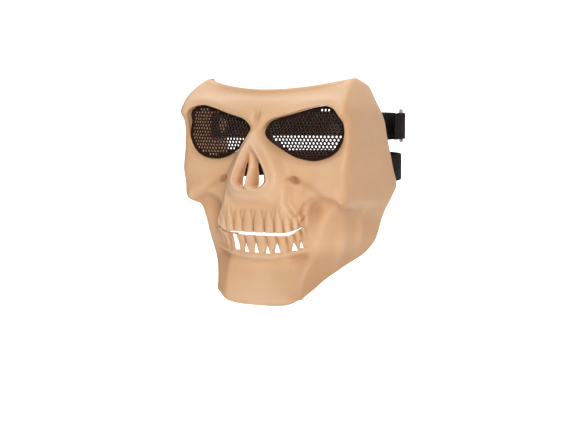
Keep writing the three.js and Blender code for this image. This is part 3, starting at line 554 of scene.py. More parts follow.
def tooth_rows(x, z, settings):
    """Rise of the teeth, and the painted shade in the grooves round them and at their root tips."""
    tooth, offset, on_tooth = tooth_at(x)
    edges = across(TOOTH_EDGES)
    from_edge = (1 - offset) * (edges[tooth + 1] - edges[tooth]) / 2
    bite = bite_at(x)
    rise = np.zeros(np.shape(x))
    groove = np.zeros(np.shape(x))
    for reach, row in ((z - bite, UPPER_TEETH), (bite - z, LOWER_TEETH)):
        share = np.maximum(0, reach / np.asarray(row["lengths"], float)[tooth])
        squareness = CROWN_SQUARENESS + (ROOT_SQUARENESS - CROWN_SQUARENESS) * eased(share, CROWN)
        swell = 1 - np.clip(offset, 0, 1) ** squareness
        fade = CROWN_FADE_SHARE * eased(share, CROWN_FADE) + (1 - CROWN_FADE_SHARE) * eased(share, ROOT_FADE)
        edge = smooth(reach / CUTTING_EDGE["round"] + CUTTING_EDGE["start"])
        fork = row["fork"] * eased(share, ROOT_FORK)
        width = TOOTH_GROOVE["width"] + TOOTH_GROOVE["widening"] * smooth(share)
        valley = bump(from_edge - fork, width) * smooth(reach / TOOTH_GROOVE["start"])
        valley *= 1 - eased(share, TOOTH_GROOVE["end"])
        gum = bump(from_edge, GUM_POINT["width"] + GUM_POINT["widening"] * fork)
        gum *= GUM_POINT["rise"] * eased(share, GUM_POINT["start"]) * (1 - eased(share, GUM_POINT["end"]))
        here = on_tooth & (reach > 0)
        crown = settings.tooth_rise * row["rise"] * swell * (1 - fade) * edge
        rise += np.where(here, crown + gum - settings.groove_depth * valley, 0)
        # Painted shade in the grooves, lighter up the roots, and a spot of painted shade at each root tip
        root = bump(from_edge, ROOT_TIP_SHADE["width"]) * bump(share - ROOT_TIP_SHADE["middle"], ROOT_TIP_SHADE["spread"])
        valley_shade = row["tint"] * valley * (1 - GROOVE_SHADE_FADE["share"] * eased(share, GROOVE_SHADE_FADE["stretch"]))
        groove += np.where(here, valley_shade + row["root_tip_shade"] * root, 0)
    corner = smooth((np.abs(x) - across(TOOTH_EDGES[-1]) + MOUTH_CORNER) / MOUTH_CORNER)
    return rise * (1 - corner), groove * (1 - corner)


def gum_ledge(x, z):
    """Ledge under the lower teeth."""
    side = np.abs(x)
    reach = across(GUM_LEDGE["reach"])
    ledge = aloft(LOWER_GUM) - GUM_LEDGE["drop"] + GUM_LEDGE["curl"] * (side / reach) ** 2
    end = 1 - smooth((side - reach) / across(GUM_LEDGE["fade"]))
    lip = GUM_LEDGE["rise"] * bump(z - ledge, GUM_LEDGE["spread"])
    under = GUM_HOLLOW["depth"] * bump(z - ledge + GUM_HOLLOW["drop"], GUM_HOLLOW["spread"])
    return (lip - under) * end


def bone_pits(x, z):
    """The two small openings in the bone under the eyes, each with a nub inside, and the painted shade in and
    round them.
    """
    side = np.abs(x)
    out, up = side - BONE_PIT["side"], z - BONE_PIT["height"]
    along = PIT_AXIS[0] * out - PIT_AXIS[1] * up
    over = PIT_AXIS[1] * out + PIT_AXIS[0] * up
    pit = BONE_PIT["depth"] * bump(np.hypot(along / BONE_PIT["length"], over / BONE_PIT["width"]), 1)
    nub = PIT_NUB["rise"] * bump(np.hypot(along - PIT_NUB["along"], over), PIT_NUB["spread"])
    fold_line = PIT_FOLD["height"] - PIT_FOLD["droop"] * (side - PIT_FOLD["top"]) ** 2
    fold = bump(z - fold_line, PIT_FOLD["spread"]) * bump(side - PIT_FOLD["side"], PIT_FOLD["reach"])
    fold *= PIT_FOLD["depth"]
    border = bump(z - curve_through(BORDER_ACROSS, BORDER_HEIGHTS, side), BONE_BORDER["spread"])
    border *= eased(side, BONE_BORDER["start"]) * (1 - eased(side, BONE_BORDER["end"]))
    # Painted shade in the pit, lifted on the nub, and along the border and the fold
    tint = PIT_SHADE["pit"] * (pit - PIT_SHADE["nub"] * nub) + PIT_SHADE["border"] * border
    tint += PIT_SHADE["fold"] * fold
    return pit - nub + fold + BONE_BORDER["rise"] * border, np.clip(tint, 0, 1)


def brow_lip(x, z):
    """Rounded band of bone over each eye and the frown fold between them, and where the fold lies for its
    painted shade.
    """
    side = np.abs(x)
    distance = inside_by(LEFT_EYE, side, z)
    over = eased((z - EYE_MIDDLE[1]) / EYE_HEIGHT, BROW_BAND["start"])
    band = BROW_BAND["rise"] * bump(distance + BROW_BAND["out"], BROW_BAND["spread"]) * over
    frown = patch(side, z, FROWN)
    return band - FROWN["depth"] * frown, frown


def chin_facets(x, z):
    """Flat front of the chin with a soft upright edge at each side."""
    side = np.abs(x)
    low = 1 - smooth((z - aloft(CHIN_EDGE["top"])) / CHIN_EDGE["fade"])
    edge = CHIN_EDGE["rise"] * bump(side - CHIN_EDGE["side"], CHIN_EDGE["width"]) * low
    return edge - CHIN_DENT["depth"] * patch(side, z, CHIN_DENT)


def jaw_muscle(x, y, z):
    """Two soft upright swellings on the side of the jaw."""
    rise = 0
    for swell in JAW_SWELLS:
        up = z - swell["height"]
        upright = bump(y - swell["y"] + JAW_LEAN * up, swell["width"])
        rise += swell["rise"] * upright * bump(up, swell["reach"])
    return rise * eased(np.abs(x), JAW_START)


def nose_inside(x, z):
    """Rim of the nose opening and the blade of bone between the nostrils, and where the hollow inside lies
    for its painted shade.
    """
    distance = inside_by(NOSE_OUTLINE, x, z)
    rim = NOSE_BEAD["rise"] * bump(distance + NOSE_BEAD["out"], NOSE_BEAD["width"])
    rim -= NOSE_GROOVE["depth"] * bump(distance + NOSE_GROOVE["out"], NOSE_GROOVE["width"])
    foot = smooth((aloft(NOSTRIL[0][1]) - z) / (BLADE_FOOT_SPAN * FACE_HEIGHT))
    blade = (BLADE_RISE + BLADE_FOOT_RISE * foot) * smooth(distance / BLADE_SPREAD) * bump(x, BLADE_SPREAD)
    hollow = eased(distance, NOSE_HOLLOW["start"]) * (1 - bump(x, NOSE_HOLLOW["blade"]))
    return rim + blade - NOSE_HOLLOW["depth"] * hollow, hollow


def fine_relief(x, y, z, settings):
    """Everything raised on the outside only, and the painted shade in the folds, grooves, pits, nose hollow
    and under the top edge.
    """
    teeth, grooves = tooth_rows(x, z, settings)
    pits, pit_shading = bone_pits(x, z)
    brow, frown_shading = brow_lip(x, z)
    nose, nose_shading = nose_inside(x, z)
    rise = teeth + gum_ledge(x, z) - pits + brow + chin_facets(x, z) + jaw_muscle(x, y, z) + nose
    top_shade_line = bump(under_top(x, z) - TOP_SHADE_LINE["drop"], TOP_SHADE_LINE["width"]) * (np.abs(x) < TOP_SHADE_LINE["reach"])
    fold = pit_shading + FOLD_SHADE["teeth"] * grooves + FOLD_SHADE["cheek"] * cheek_fold(np.abs(x), z)[1]
    fold += FOLD_SHADE["frown"] * frown_shading + FOLD_SHADE["nose"] * nose_shading + FOLD_SHADE["top"] * top_shade_line
    return rise, np.clip(fold, 0, 1)


def painted_face_shading(x, y, z):
    """Broad painted light and shade on the face: painted highlight on the brow, upper lip, cheekbones, chin
    front and jaw swellings, and painted shade under the cheekbones, beside the nose, beside the chin and on
    the sides.
    """
    side = np.abs(x)
    crease = curve_through(across(CREASE_ACROSS), aloft(CREASE_HEIGHTS), np.clip(side, *CHEEK_SHADE["across"]))
    under = eased(crease - z, CHEEK_SHADE["start"]) * (1 - eased(crease - z, CHEEK_SHADE["end"]))
    low = 1 - smooth((z - aloft(CHIN_SHADING["top"])) / CHIN_SHADING["fade"])
    chin = CHIN_SHADING["tint"] * eased(side, CHIN_SHADING["side"])
    crest_highlight = CHIN_SHADING["crest_highlight"] * bump(side, CHIN_SHADING["crest_highlight_width"])
    tint = CHEEK_SHADE["tint"] * under * eased(side, CHEEK_SHADE["side"]) + low * (chin - crest_highlight)
    tint += BROW_HIGHLIGHT["tint"] * smooth((z - aloft(BROW_HIGHLIGHT["start"])) / BROW_HIGHLIGHT["fade"])
    tint += sum(spot["tint"] * patch(side, z, spot) for spot in PAINTED_LIGHT_PATCHES)
    tint *= 1 - eased(y, SIDE_SHADING["front"])
    return tint + SIDE_SHADING["tint"] * eased(side, SIDE_SHADING["side"]) - SIDE_SHADING["jaw"] * jaw_muscle(x, y, z)


def rolled_in(near, radius):
    """How far a surface rolls in at a distance from its edge."""
    reach = np.clip(1 - near / radius, 0, 1)
    return radius * (1 - np.sqrt(np.clip(1 - reach**2, 0, 1)))


def lip_drop(x, z, radius):
    """How far the surface rolls in at the edge of an eye opening."""
    return rolled_in(-inside_by(LEFT_EYE, np.abs(x), z), radius)


def spaced(stops, spacings, fine_ends):
    """Places from the first stop to the last, closer where the spacing is small and at the ends."""
    places = [stops[0]]
    for start, end, spacing in zip(stops, stops[1:], spacings):
        count = max(1, round((end - start) / spacing))
        places += [start + (end - start) * i / count for i in range(1, count + 1)]
    for end, inward in fine_ends:
        places += [end + inward * step for step in END_ROWS]
    return np.array(sorted(places))


def column_turns():
    """Turns of the grid's columns, closest at the teeth."""
    rear = [1 - reach / REAR_LENGTH for reach in REAR_COLUMNS]
    half = np.array(sorted([*spaced(COLUMN_STOPS, COLUMN_SPACINGS, []), *rear]))
    return np.concatenate([-half[:0:-1], half])


def row_heights():
    """Heights of the grid's rows, closest at the teeth."""
    low, high = float(aloft(0)), float(aloft(1))
    return spaced([low, *TEETH_ROWS, high], ROW_SPACINGS, [(low, 1), (high, -1)])


def edge_round(turns, heights, radius):
    """How far the outside rolls in at the top, the bottom and the rear edges."""
    top = (aloft(1) - heights)[:, None] + 0 * turns[None, :]
    low = (heights - aloft(0))[:, None] + 0 * turns[None, :]
    rear = (1 - np.abs(turns))[None, :] * REAR_LENGTH + 0 * heights[:, None]
    return rolled_in(np.minimum(np.minimum(top, low), rear), radius)


def under_top(x, z):
    """Distance down from the top edge."""
    return aloft(1) - top_dip(x) - z


def top_step(x, z, settings):
    """Low step where the wall thins along the middle of the top edge."""
    middle = 1 - eased(np.abs(x), TOP_STEP["reach"])
    return settings.top_step * (1 - smooth((under_top(x, z) - TOP_STEP["drop"]) / TOP_STEP["slope"])) * middle


def grid_faces(columns, rows, first, inward):
    """Four-sided faces of a grid of points numbered row by row."""
    corner = first + (np.arange(rows - 1)[:, None] * columns + np.arange(columns - 1)[None, :])
    quads = np.stack([corner, corner + 1, corner + columns + 1, corner + columns], axis=-1).reshape(-1, 4)
    return quads[:, ::-1] if inward else quads


def rim_loop(columns, rows, first):
    """Numbers of the points round a grid."""
    index = first + np.arange(rows * columns).reshape(rows, columns)
    return [*index[0, :-1], *index[:-1, -1], *index[-1, :0:-1], *index[:0:-1, 0]]


def shell_mesh(settings):
    """Closed wall of the mask, with all its relief on the outside."""
    turns = column_turns()
    heights = row_heights()
    if len(turns) % 2 == 0 or len(heights) % 2 == 0:
        heights = np.sort(np.append(heights, (heights[0] + heights[1]) / 2))
    plain = plain_face(turns, heights)
    normals = plan_normals(turns, heights)
    x, y, z = plain[..., 0], plain[..., 1], plain[..., 2]
    relief, _ = fine_relief(x, y, z, settings)
    drop = lip_drop(x, z, settings.lip_radius) + edge_round(turns, heights, EDGE_ROUND)
    drop += top_step(x, z, settings)
    outer = plain + normals * (large_forms(x, z) + relief - drop)[..., None]
    inner = inner_face(turns[::2], heights[::2])
    count = outer.shape[0] * outer.shape[1]
    points = np.vstack([outer.reshape(-1, 3), inner.reshape(-1, 3)])
    faces = [
        *grid_faces(outer.shape[1], outer.shape[0], 0, False).tolist(),
        *grid_faces(inner.shape[1], inner.shape[0], count, True).tolist(),
    ]
    outer_rim = rim_loop(outer.shape[1], outer.shape[0], 0)
    inner_rim = rim_loop(inner.shape[1], inner.shape[0], count)
    for i, here in enumerate(inner_rim):
        following = inner_rim[(i + 1) % len(inner_rim)]
        start, middle = outer_rim[2 * i], outer_rim[2 * i + 1]
        end = outer_rim[(2 * i + 2) % len(outer_rim)]
        faces += [[start, here, middle], [middle, here, following], [middle, following, end]]
    return points, faces


class FaceTable:
    """Depth of the face with its large forms, looked up by place across and height."""

    def __init__(self):
        self.x = np.arange(0, TABLE_REACH + TABLE_CELL, TABLE_CELL)
        self.z = np.arange(TABLE_HEIGHTS[0], TABLE_HEIGHTS[1] + TABLE_CELL, TABLE_CELL)
        plain = plain_face(TABLE_TURNS, self.z)
        formed = formed_face(TABLE_TURNS, self.z)
        self.y = np.array([np.interp(self.x, plain[i, :, 0], formed[i, :, 1]) for i in range(len(self.z))])

    def depth(self, x, z):
        """Depth at places across and heights."""
        across_cells = np.clip(np.abs(x) / TABLE_CELL, 0, len(self.x) - 1.001)
        up_cells = np.clip((np.asarray(z) - self.z[0]) / TABLE_CELL, 0, len(self.z) - 1.001)
        i, j = up_cells.astype(int), across_cells.astype(int)
        s, t = up_cells - i, across_cells - j
        low = self.y[i, j] * (1 - t) + self.y[i, j + 1] * t
        high = self.y[i + 1, j] * (1 - t) + self.y[i + 1, j + 1] * t
        return low * (1 - s) + high * s


FACE = FaceTable()


def blurred(grid, radius):
    """A grid smoothed over a radius in cells, mirrored at its first column."""
    reach = int(3 * radius)
    weights = bump(np.arange(-reach, reach + 1), radius * math.sqrt(2))
    weights /= weights.sum()
    wide = np.hstack([grid[:, reach:0:-1], grid, np.repeat(grid[:, -1:], reach, axis=1)])
    wide = np.apply_along_axis(np.convolve, 1, wide, weights, "valid")
    tall = np.vstack([np.repeat(wide[:1], reach, axis=0), wide, np.repeat(wide[-1:], reach, axis=0)])
    return np.apply_along_axis(np.convolve, 0, tall, weights, "valid")


class HollowTable:
    """How far each place of the relief lies below its surroundings, looked up by place and height."""

    def __init__(self, settings):
        self.x = np.arange(TABLE_REACH + 1)
        self.z = np.arange(1 - CHIN_DROP, FACE_HEIGHT - CHIN_DROP)
        plain = plain_face(TABLE_TURNS, self.z)
        x, y, z = plain[..., 0], plain[..., 1], plain[..., 2]
        rise = large_forms(x, z) + fine_relief(x, y, z, settings)[0]
        ahead_by = -(plain + plan_normals(TABLE_TURNS, self.z) * rise[..., None])[..., 1]
        grid = np.array([np.interp(self.x, x[i], ahead_by[i]) for i in range(len(self.z))])
        fine = blurred(grid, HOLLOW_BLURS["fine"])
        self.broad = blurred(grid, HOLLOW_BLURS["broad"]) - fine
        self.fine = fine - grid
        self.corner = np.array([np.interp(SECTION_TURNS[3], TABLE_TURNS, row) for row in x])

    def at(self, x, z):
        """Broad and fine hollows at places, in millimetres; crests are negative."""
        i = np.clip(np.rint(z - self.z[0]).astype(int), 0, len(self.z) - 2)
        cells = np.clip(np.abs(x), 0, len(self.x) - 1.001)
        j, t = cells.astype(int), cells - cells.astype(int)
        front = 1 - smooth((np.abs(x) - self.corner[i] + HOLLOW_FADE) / HOLLOW_FADE)
        return [(grid[i, j] * (1 - t) + grid[i, j + 1] * t) * front for grid in (self.broad, self.fine)]


def plate_seat(z):
    """How far behind the face the front of the eye plate's edge lies."""
    return PLATE_SINK + BROW_RECESS * under_brow(z)


def collar_rings():
    """The four rings of points of the collar behind the wearer's left eye opening."""
    outside = inset_outline(LEFT_EYE, -COLLAR_WALL)

    def ring(outline, back):
        return np.stack([outline[:, 0], FACE.depth(*outline.T) + back, outline[:, 1]], axis=1)

    def reach(outline):
        return np.maximum(WALL, plate_seat(outline[:, 1]) + PLATE_THICKNESS + FIT_GAP)

    return [
        ring(LEFT_EYE, COLLAR_FRONT), ring(outside, COLLAR_FRONT),
        ring(outside, reach(outside)), ring(LEFT_EYE, reach(LEFT_EYE)),
    ]


# Outlines cut through the front

def mouth_outline():
    """Long narrow gap between the rows of teeth, following each tooth's edge."""
    reach = float(across(TOOTH_EDGES[-1])) - MOUTH_INSET
    x = np.linspace(-reach, reach, 121)
    _, offset, _ = tooth_at(x)
    narrowing = MOUTH_NARROWING["share"] * eased(np.abs(x) / reach, MOUTH_NARROWING["stretch"])
    half = BITE_GAP / 2 * (1 - narrowing)
    start, end = BITE_NOTCH["stretch"]
    notch = np.maximum(0, (offset - start) / (end - start)) ** 2
    low = np.stack([x, bite_at(x) - half - BITE_NOTCH["low"] * notch], axis=1)
    high = np.stack([x, bite_at(x) + half + BITE_NOTCH["high"] * notch], axis=1)
    return np.vstack([low, high[::-1]])


def tooth_gap_outline(gap):
    """Narrow gap between two lower teeth, widest at the gum and rounded at its top."""
    x, half = float(across(gap["middle"])), float(across(gap["width"])) / 2
    low, high = float(aloft(gap["low"])), float(aloft(gap["high"]))
    top, foot, side = half * GAP_TOP, half - GAP_ROUND, half - GAP_ROUND / 8
    corners = [
        (-foot, low), (foot, low), (side, low + GAP_ROUND), (top, high - GAP_ROUND * 0.75),
        (top * 0.4, high), (-top * 0.4, high), (-top, high - GAP_ROUND * 0.75), (-side, low + GAP_ROUND),
    ]
    return np.array(corners) + np.array([x, 0])


def missing_tooth_outline():
    """Tall gap where one lower tooth is gone."""
    left, right = float(across(MISSING_TOOTH["left"])), float(across(MISSING_TOOTH["right"]))
    low, top = float(aloft(MISSING_TOOTH["low"])), float(aloft(BITE_HEIGHT))
    slant = (right - left) * MISSING_TOOTH["slant"]
    corners = [
        (left + slant + 0.6, low), (right + slant - GAP_ROUND, low), (right + slant, low + 1),
        (right, top), (left, top), (left + slant, low + 1),
    ]
    return np.array(corners)


def front_outlines():
    """Every outline that is cut through the front of the shell."""
    nostril = rounded_route([(float(across(x)), float(aloft(z))) for x, z in NOSTRIL], True, 5)
    return [
        LEFT_EYE, mirror_outline(LEFT_EYE), nostril, mirror_outline(nostril), mouth_outline(),
        *[tooth_gap_outline(gap) for gap in TOOTH_GAPS], missing_tooth_outline(),
    ]


# Meshes and pieces

def new_piece(name, points, faces):
    """Mesh object in the scene from points in millimetres."""
    mesh = bpy.data.meshes.new(name)
    mesh.from_pydata((np.asarray(points, float) * MM).tolist(), [], [list(face) for face in faces])
    mesh.validate()
    piece = bpy.data.objects.new(name, mesh)
    bpy.context.scene.collection.objects.link(piece)
    return piece


def faces_outward(piece):
    """Turns every face to look out of its own solid."""
    shape = bmesh.new()
    shape.from_mesh(piece.data)
    bmesh.ops.recalc_face_normals(shape, faces=shape.faces)
    shape.to_mesh(piece.data)
    shape.free()


def prisms(name, outlines, front, back):
    """Closed prisms along Y over outlines of the front view."""
    points, faces = [], []
    for outline in outlines:
        first, count = len(points), len(outline)
        points += [(x, front, z) for x, z in outline] + [(x, back, z) for x, z in outline]
        faces.append(list(range(first, first + count)))
        faces.append(list(range(first + 2 * count - 1, first + count - 1, -1)))
        for i in range(count):
            j = (i + 1) % count
            faces.append([first + i, first + count + i, first + count + j, first + j])
    piece = new_piece(name, points, faces)
    faces_outward(piece)
    return piece


def ring_piece(name, ring_sets):
    """Closed skins over rings of points that join up in a loop."""
    points, faces = [], []
    for rings in ring_sets:
        first, count = len(points), len(rings[0])
        points += [tuple(point) for ring in rings for point in ring]
        for ring in range(len(rings)):
            here, following = first + ring * count, first + ((ring + 1) % len(rings)) * count
            for i in range(count):
                j = (i + 1) % count
                faces.append([here + i, here + j, following + j, following + i])
    piece = new_piece(name, points, faces)
    faces_outward(piece)
    return piece


def combine(piece, tool, operation):
    """Joins or cuts one solid with another and removes the tool."""
    before = len(piece.data.vertices)
    change = piece.modifiers.new(operation.lower(), "BOOLEAN")
    change.operation = operation
    change.solver = "MANIFOLD"
    change.object = tool
    bpy.context.view_layer.update()
    graph = bpy.context.evaluated_depsgraph_get()
    mesh = bpy.data.meshes.new_from_object(piece.evaluated_get(graph))
    piece.modifiers.clear()
    old, piece.data = piece.data, mesh
    bpy.data.meshes.remove(old)
    bpy.data.objects.remove(tool)
    if len(mesh.vertices) == before or not mesh.vertices:
        raise RuntimeError(f"{operation} changed nothing on {piece.name}")


def soften(piece, angle):
    """Smooth shading that keeps edges sharper than an angle."""
    piece.data.shade_smooth()
    piece.data.set_sharp_from_angle(angle=math.radians(angle))


def bevelled(piece, width):
    """Rounds a piece's sharp edges."""
    bevel = piece.modifiers.new("edge", "BEVEL")
    bevel.width = width * MM
    bevel.segments = 3
    bevel.limit_method = "ANGLE"
    bevel.angle_limit = math.radians(40)
    bevel.harden_normals = True


def place(piece, finish, slot, *nodes):
    """Gives a piece its material and sets it on the model in place of its nodes; its slot is not used."""
    piece.data.materials.clear()
    piece.data.materials.append(finish)
    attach(piece, "root")
    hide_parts(*nodes)


# Materials

CLOUD_EDGES = (0.3, 0.7)
METAL_GRAIN = {"scale": 3000, "height": 0.00004, "strength": 0.3, "specular": 0.14}
FITTING_GRAIN = {"scale": 2400, "height": 0.00005, "strength": 0.25, "specular": 0.5}


class Finish:
    """Node material with a principled shader."""

    def __init__(self, name):
        self.material = bpy.data.materials.new(name)
        self.material.use_nodes = True
        self.tree = self.material.node_tree
        self.tree.nodes.clear()
        output = self.node("OutputMaterial")
        self.shader = self.node("BsdfPrincipled")
        self.tree.links.new(self.shader.outputs["BSDF"], output.inputs["Surface"])

    def fill(self, node, inputs):
        """Fills a node's inputs: a socket is linked, and a number or a colour is set."""
        for name, value in inputs.items():
            if isinstance(value, bpy.types.NodeSocket):
                self.tree.links.new(value, node.inputs[name])
            else:
                node.inputs[name].default_value = value

    def node(self, kind, inputs=None, **choices):
        """New node with its choices made and its inputs filled."""
        node = self.tree.nodes.new(f"ShaderNode{kind}")
        for name, value in choices.items():
            setattr(node, name, value)
        self.fill(node, inputs or {})
        return node

    def noise(self, scale, detail):
        """Noise over the object."""
        spot = self.node("TexCoord").outputs["Object"]
        return self.node("TexNoise", {"Vector": spot, "Scale": scale, "Detail": detail}).outputs["Fac"]

    def wave(self, place, direction, scale, distortion):
        """Stripes across one direction of a place."""
        inputs = {"Vector": place, "Scale": scale, "Distortion": distortion}
        return self.node("TexWave", inputs, bands_direction=direction)

    def ramp(self, factor, low, high, start=0.0, end=1.0):
        """Colour ramp between two colours."""
        node = self.node("ValToRGB", {"Fac": factor})
        for stop, place, colour in zip(node.color_ramp.elements, (start, end), (low, high)):
            stop.position = place
            stop.color = (*colour, 1)
        return node.outputs["Color"]

    def spread(self, value, low, high, start=0.0, end=1.0):
        """Maps a value from one range to another."""
        inputs = {"Value": value, "From Min": start, "From Max": end, "To Min": low, "To Max": high}
        return self.node("MapRange", inputs).outputs["Result"]

    def blend(self, factor, first, colour):
        """Mixes a plain colour into a colour socket."""
        plain = self.node("RGB")
        plain.outputs[0].default_value = (*colour, 1)
        inputs = {"Factor": factor, "A": first, "B": plain.outputs[0]}
        return self.node("Mix", inputs, data_type="RGBA").outputs["Result"]

    def surface(self, colour, roughness, specular):
        """Fills the shader's colour, roughness and specular level."""
        self.fill(
            self.shader, {"Base Color": colour, "Roughness": roughness, "Specular IOR Level": specular}
        )

    def raised(self, height, distance, strength):
        """Fine bump on the shader."""
        bump_node = self.node("Bump", {"Height": height, "Distance": distance, "Strength": strength})
        self.fill(self.shader, {"Normal": bump_node.outputs["Normal"]})


def shade(colour, factor):
    """A colour made lighter or darker."""
    return tuple(channel * factor for channel in colour)


def shell_finish(settings):
    """Satin moulded plastic with a faint mottle, with painted shade in the folds and hollows and painted
    highlight on the crests and lit faces, from the fold attribute.
    """
    finish = Finish("satin_bone_plastic")
    fold = finish.node("Attribute", attribute_name="fold").outputs["Fac"]
    bone = tuple(settings.bone_colour)
    base = finish.ramp(finish.noise(26, 3), shade(bone, 0.955), shade(bone, 1.03), *CLOUD_EDGES)
    # Painted shade where the fold attribute is above zero, painted highlight where it is below zero
    depth = finish.spread(fold, 0, settings.fold_shade_strength)
    crest_highlight = finish.spread(fold, 0, settings.crest_highlight_strength, 0, PALEST_HIGHLIGHT)
    body = finish.blend(depth, finish.blend(crest_highlight, base, settings.crest_highlight_colour), settings.fold_shade_colour)
    low, high = settings.roughness - 0.04, settings.roughness + 0.05
    finish.surface(body, finish.spread(finish.noise(70, 2), low, high, *CLOUD_EDGES), 0.42)
    finish.raised(finish.noise(2600, 2), 0.00006, 0.25)
    return finish.material


def clouded_finish(name, colour, tones, gloss, cloud_scale, grain):
    """Plain finish with a faint cloud in its tone and gloss and a fine grain."""
    finish = Finish(name)
    cloud = finish.noise(cloud_scale, 3)
    tone = finish.ramp(cloud, shade(colour, tones[0]), shade(colour, tones[1]), *CLOUD_EDGES)
    finish.surface(tone, finish.spread(cloud, *gloss, *CLOUD_EDGES), grain["specular"])
    finish.raised(finish.noise(grain["scale"], 2), grain["height"], grain["strength"])
    return finish.material


def plate_finish(settings):
    """Dark coated metal of the eye plates."""
    colour = tuple(settings.metal_colour)
    return clouded_finish("coated_eye_metal", colour, (0.75, 1.25), (0.34, 0.46), 90, METAL_GRAIN)


def webbing_finish(settings):
    """Ribbed elastic: ribs across the band, fine threads along it."""
    finish = Finish("ribbed_elastic")
    flat = finish.node("UVMap", uv_map="along").outputs["UV"]
    rib = finish.wave(flat, "X", settings.ribs_per_metre / 20, 0.6)
    finish.fill(rib, {"Detail Scale": 4})
    thread = finish.wave(flat, "Y", settings.ribs_per_metre / 14, 0.4)
    weave = finish.node("Math", operation="MULTIPLY")
    finish.tree.links.new(rib.outputs["Fac"], weave.inputs[0])
    finish.tree.links.new(finish.spread(thread.outputs["Fac"], 0.45, 1), weave.inputs[1])
    dark = tuple(settings.webbing_colour)
    finish.surface(finish.ramp(weave.outputs[0], shade(dark, 0.6), shade(dark, 1.35)), 0.85, 0.07)
    finish.raised(weave.outputs[0], 0.0004, 0.7)
    return finish.material


def slider_finish(settings):
    """Pale moulded plastic of the slider."""
    colour = tuple(settings.fitting_colour)
    return clouded_finish("pale_fitting_plastic", colour, (0.92, 1.05), (0.42, 0.55), 120, FITTING_GRAIN)


def stud_finish(settings):
    """Moulded plastic of the studs, the shell's own tint a shade darker."""
    colour = tuple(settings.bone_colour)
    return clouded_finish("bone_stud_plastic", colour, (0.72, 0.82), (0.4, 0.52), 150, FITTING_GRAIN)


def stage_finish(settings):
    """Plain white floor and backdrop."""
    finish = Finish("white_studio_paper")
    white = (settings.paper_white,) * 3
    finish.surface(finish.ramp(finish.noise(40, 2), shade(white, 0.995), white), 0.9, 0.1)
    return finish.material


# Settings

def size_setting(name, description, default, low, high):
    """Size in millimetres."""
    text = f"{description}, in millimetres"
    return FloatProperty(name=name, description=text, default=default, min=low, max=high)


def share_setting(name, description, default):
    """Setting from 0 to 1."""
    return FloatProperty(name=name, description=description, subtype="FACTOR", default=default, min=0, max=1)


def colour_setting(name, description, default):
    """Colour of a finish."""
    return FloatVectorProperty(
        name=name, description=description, subtype="COLOR", size=3, default=default, min=0, max=1
    )


def power_setting(name, description, default):
    """Power of a light."""
    return FloatProperty(
        name=name, description=description, subtype="POWER", unit="POWER", default=default, min=0
    )


class MaskReliefSettings(bpy.types.PropertyGroup):
    """Fine relief of the shell."""

    tooth_rise: size_setting("Tooth Rise", "How far the teeth stand out", 2.5, 0, 4)
    groove_depth: size_setting("Groove Depth", "Depth of the grooves between teeth", 0.7, 0, 2)
    lip_radius: size_setting("Eye Lip", "Roundness of the eye openings' edges", 1.8, 0.2, 4)
    top_step: size_setting("Top Step", "Step along the top edge", 1.2, 0, 1.5)


class MaskFinishSettings(bpy.types.PropertyGroup):
    """Colours and gloss of the mask."""

    bone_colour: colour_setting("Shell", "Colour of the moulded shell", (0.76, 0.455, 0.245))
    # Painted shade: colour mixed into the folds, grooves and hollows, and how strongly
    fold_shade_colour: colour_setting("Folds", "Colour that settles in folds and grooves", (0.36, 0.15, 0.06))
    fold_shade_strength: share_setting("Fold Strength", "How strongly folds are tinted", 0.82)
    # Painted highlight: colour mixed into the crests and lit faces, and how strongly
    crest_highlight_colour: colour_setting("Crests", "Colour of the worn crests", (0.86, 0.60, 0.41))
    crest_highlight_strength: share_setting("Crest Strength", "How pale the crests are", 0.6)
    roughness: share_setting("Shell Roughness", "Roughness of the shell", 0.46)
    metal_colour: colour_setting("Eye Plates", "Colour of the eye plates", (0.022, 0.008, 0.004))
    webbing_colour: colour_setting("Straps", "Colour of the elastic", (0.008, 0.005, 0.0038))
    fitting_colour: colour_setting("Slider", "Colour of the slider", (0.46, 0.36, 0.31))
    ribs_per_metre: IntProperty(
        name="Ribs per Metre", description="Ribs of the elastic to each metre", default=800, min=200, max=2000
    )


class MaskPlateSettings(bpy.types.PropertyGroup):
    """Holes of the eye plates."""

    pitch: size_setting("Hole Pitch", "Distance between holes", 3.3, 2, 8)
    hole: size_setting("Hole Width", "Width of a hole", 2.15, 1, 6)
    rim_rise: size_setting("Rim Rise", "Height of the pressed rim", 0.5, 0, 1.5)


class MaskStudioSettings(bpy.types.PropertyGroup):
    """Floor, lights and camera."""

    floor_drop: FloatProperty(
        name="Floor Drop", description="How far the floor lies under the origin",
        subtype="DISTANCE", unit="LENGTH", default=0.6, min=0.16, max=2,
    )
    paper_white: share_setting("Paper", "Whiteness of the floor and backdrop", 0.95)
    key_power: power_setting("Key Light", "Power of the main light", 28.5)
    fill_power: power_setting("Fill Light", "Power of the second light", 0.4)
    paper_power: power_setting("Paper Light", "Power of the light on the backdrop", 110)
    sky: FloatProperty(
        name="Surround", description="Strength of the white surround", default=0.22, min=0, max=3
    )
    lens: size_setting("Lens", "Focal length of the camera", 92.14, 10, 500)


# Straps

def first_turn(axis, value, height):
    """The turn at which the plain face passes a given place at one height."""
    low, high = 0.0, 1.0
    for _ in range(30):
        middle = (low + high) / 2
        if plain_face([middle], [height])[0, 0, axis] < value:
            low = middle
        else:
            high = middle
    return low


def inside_wall(y, height):
    """Point of the inside of the wall at a depth and a height."""
    return inner_face(np.array([first_turn(1, y, height)]), np.array([float(height)]))[0, 0]


def rear_edge(height):
    """Depth of the shell's rear edge at a height."""
    return plain_face([1.0], [float(height)])[0, 0, 1]


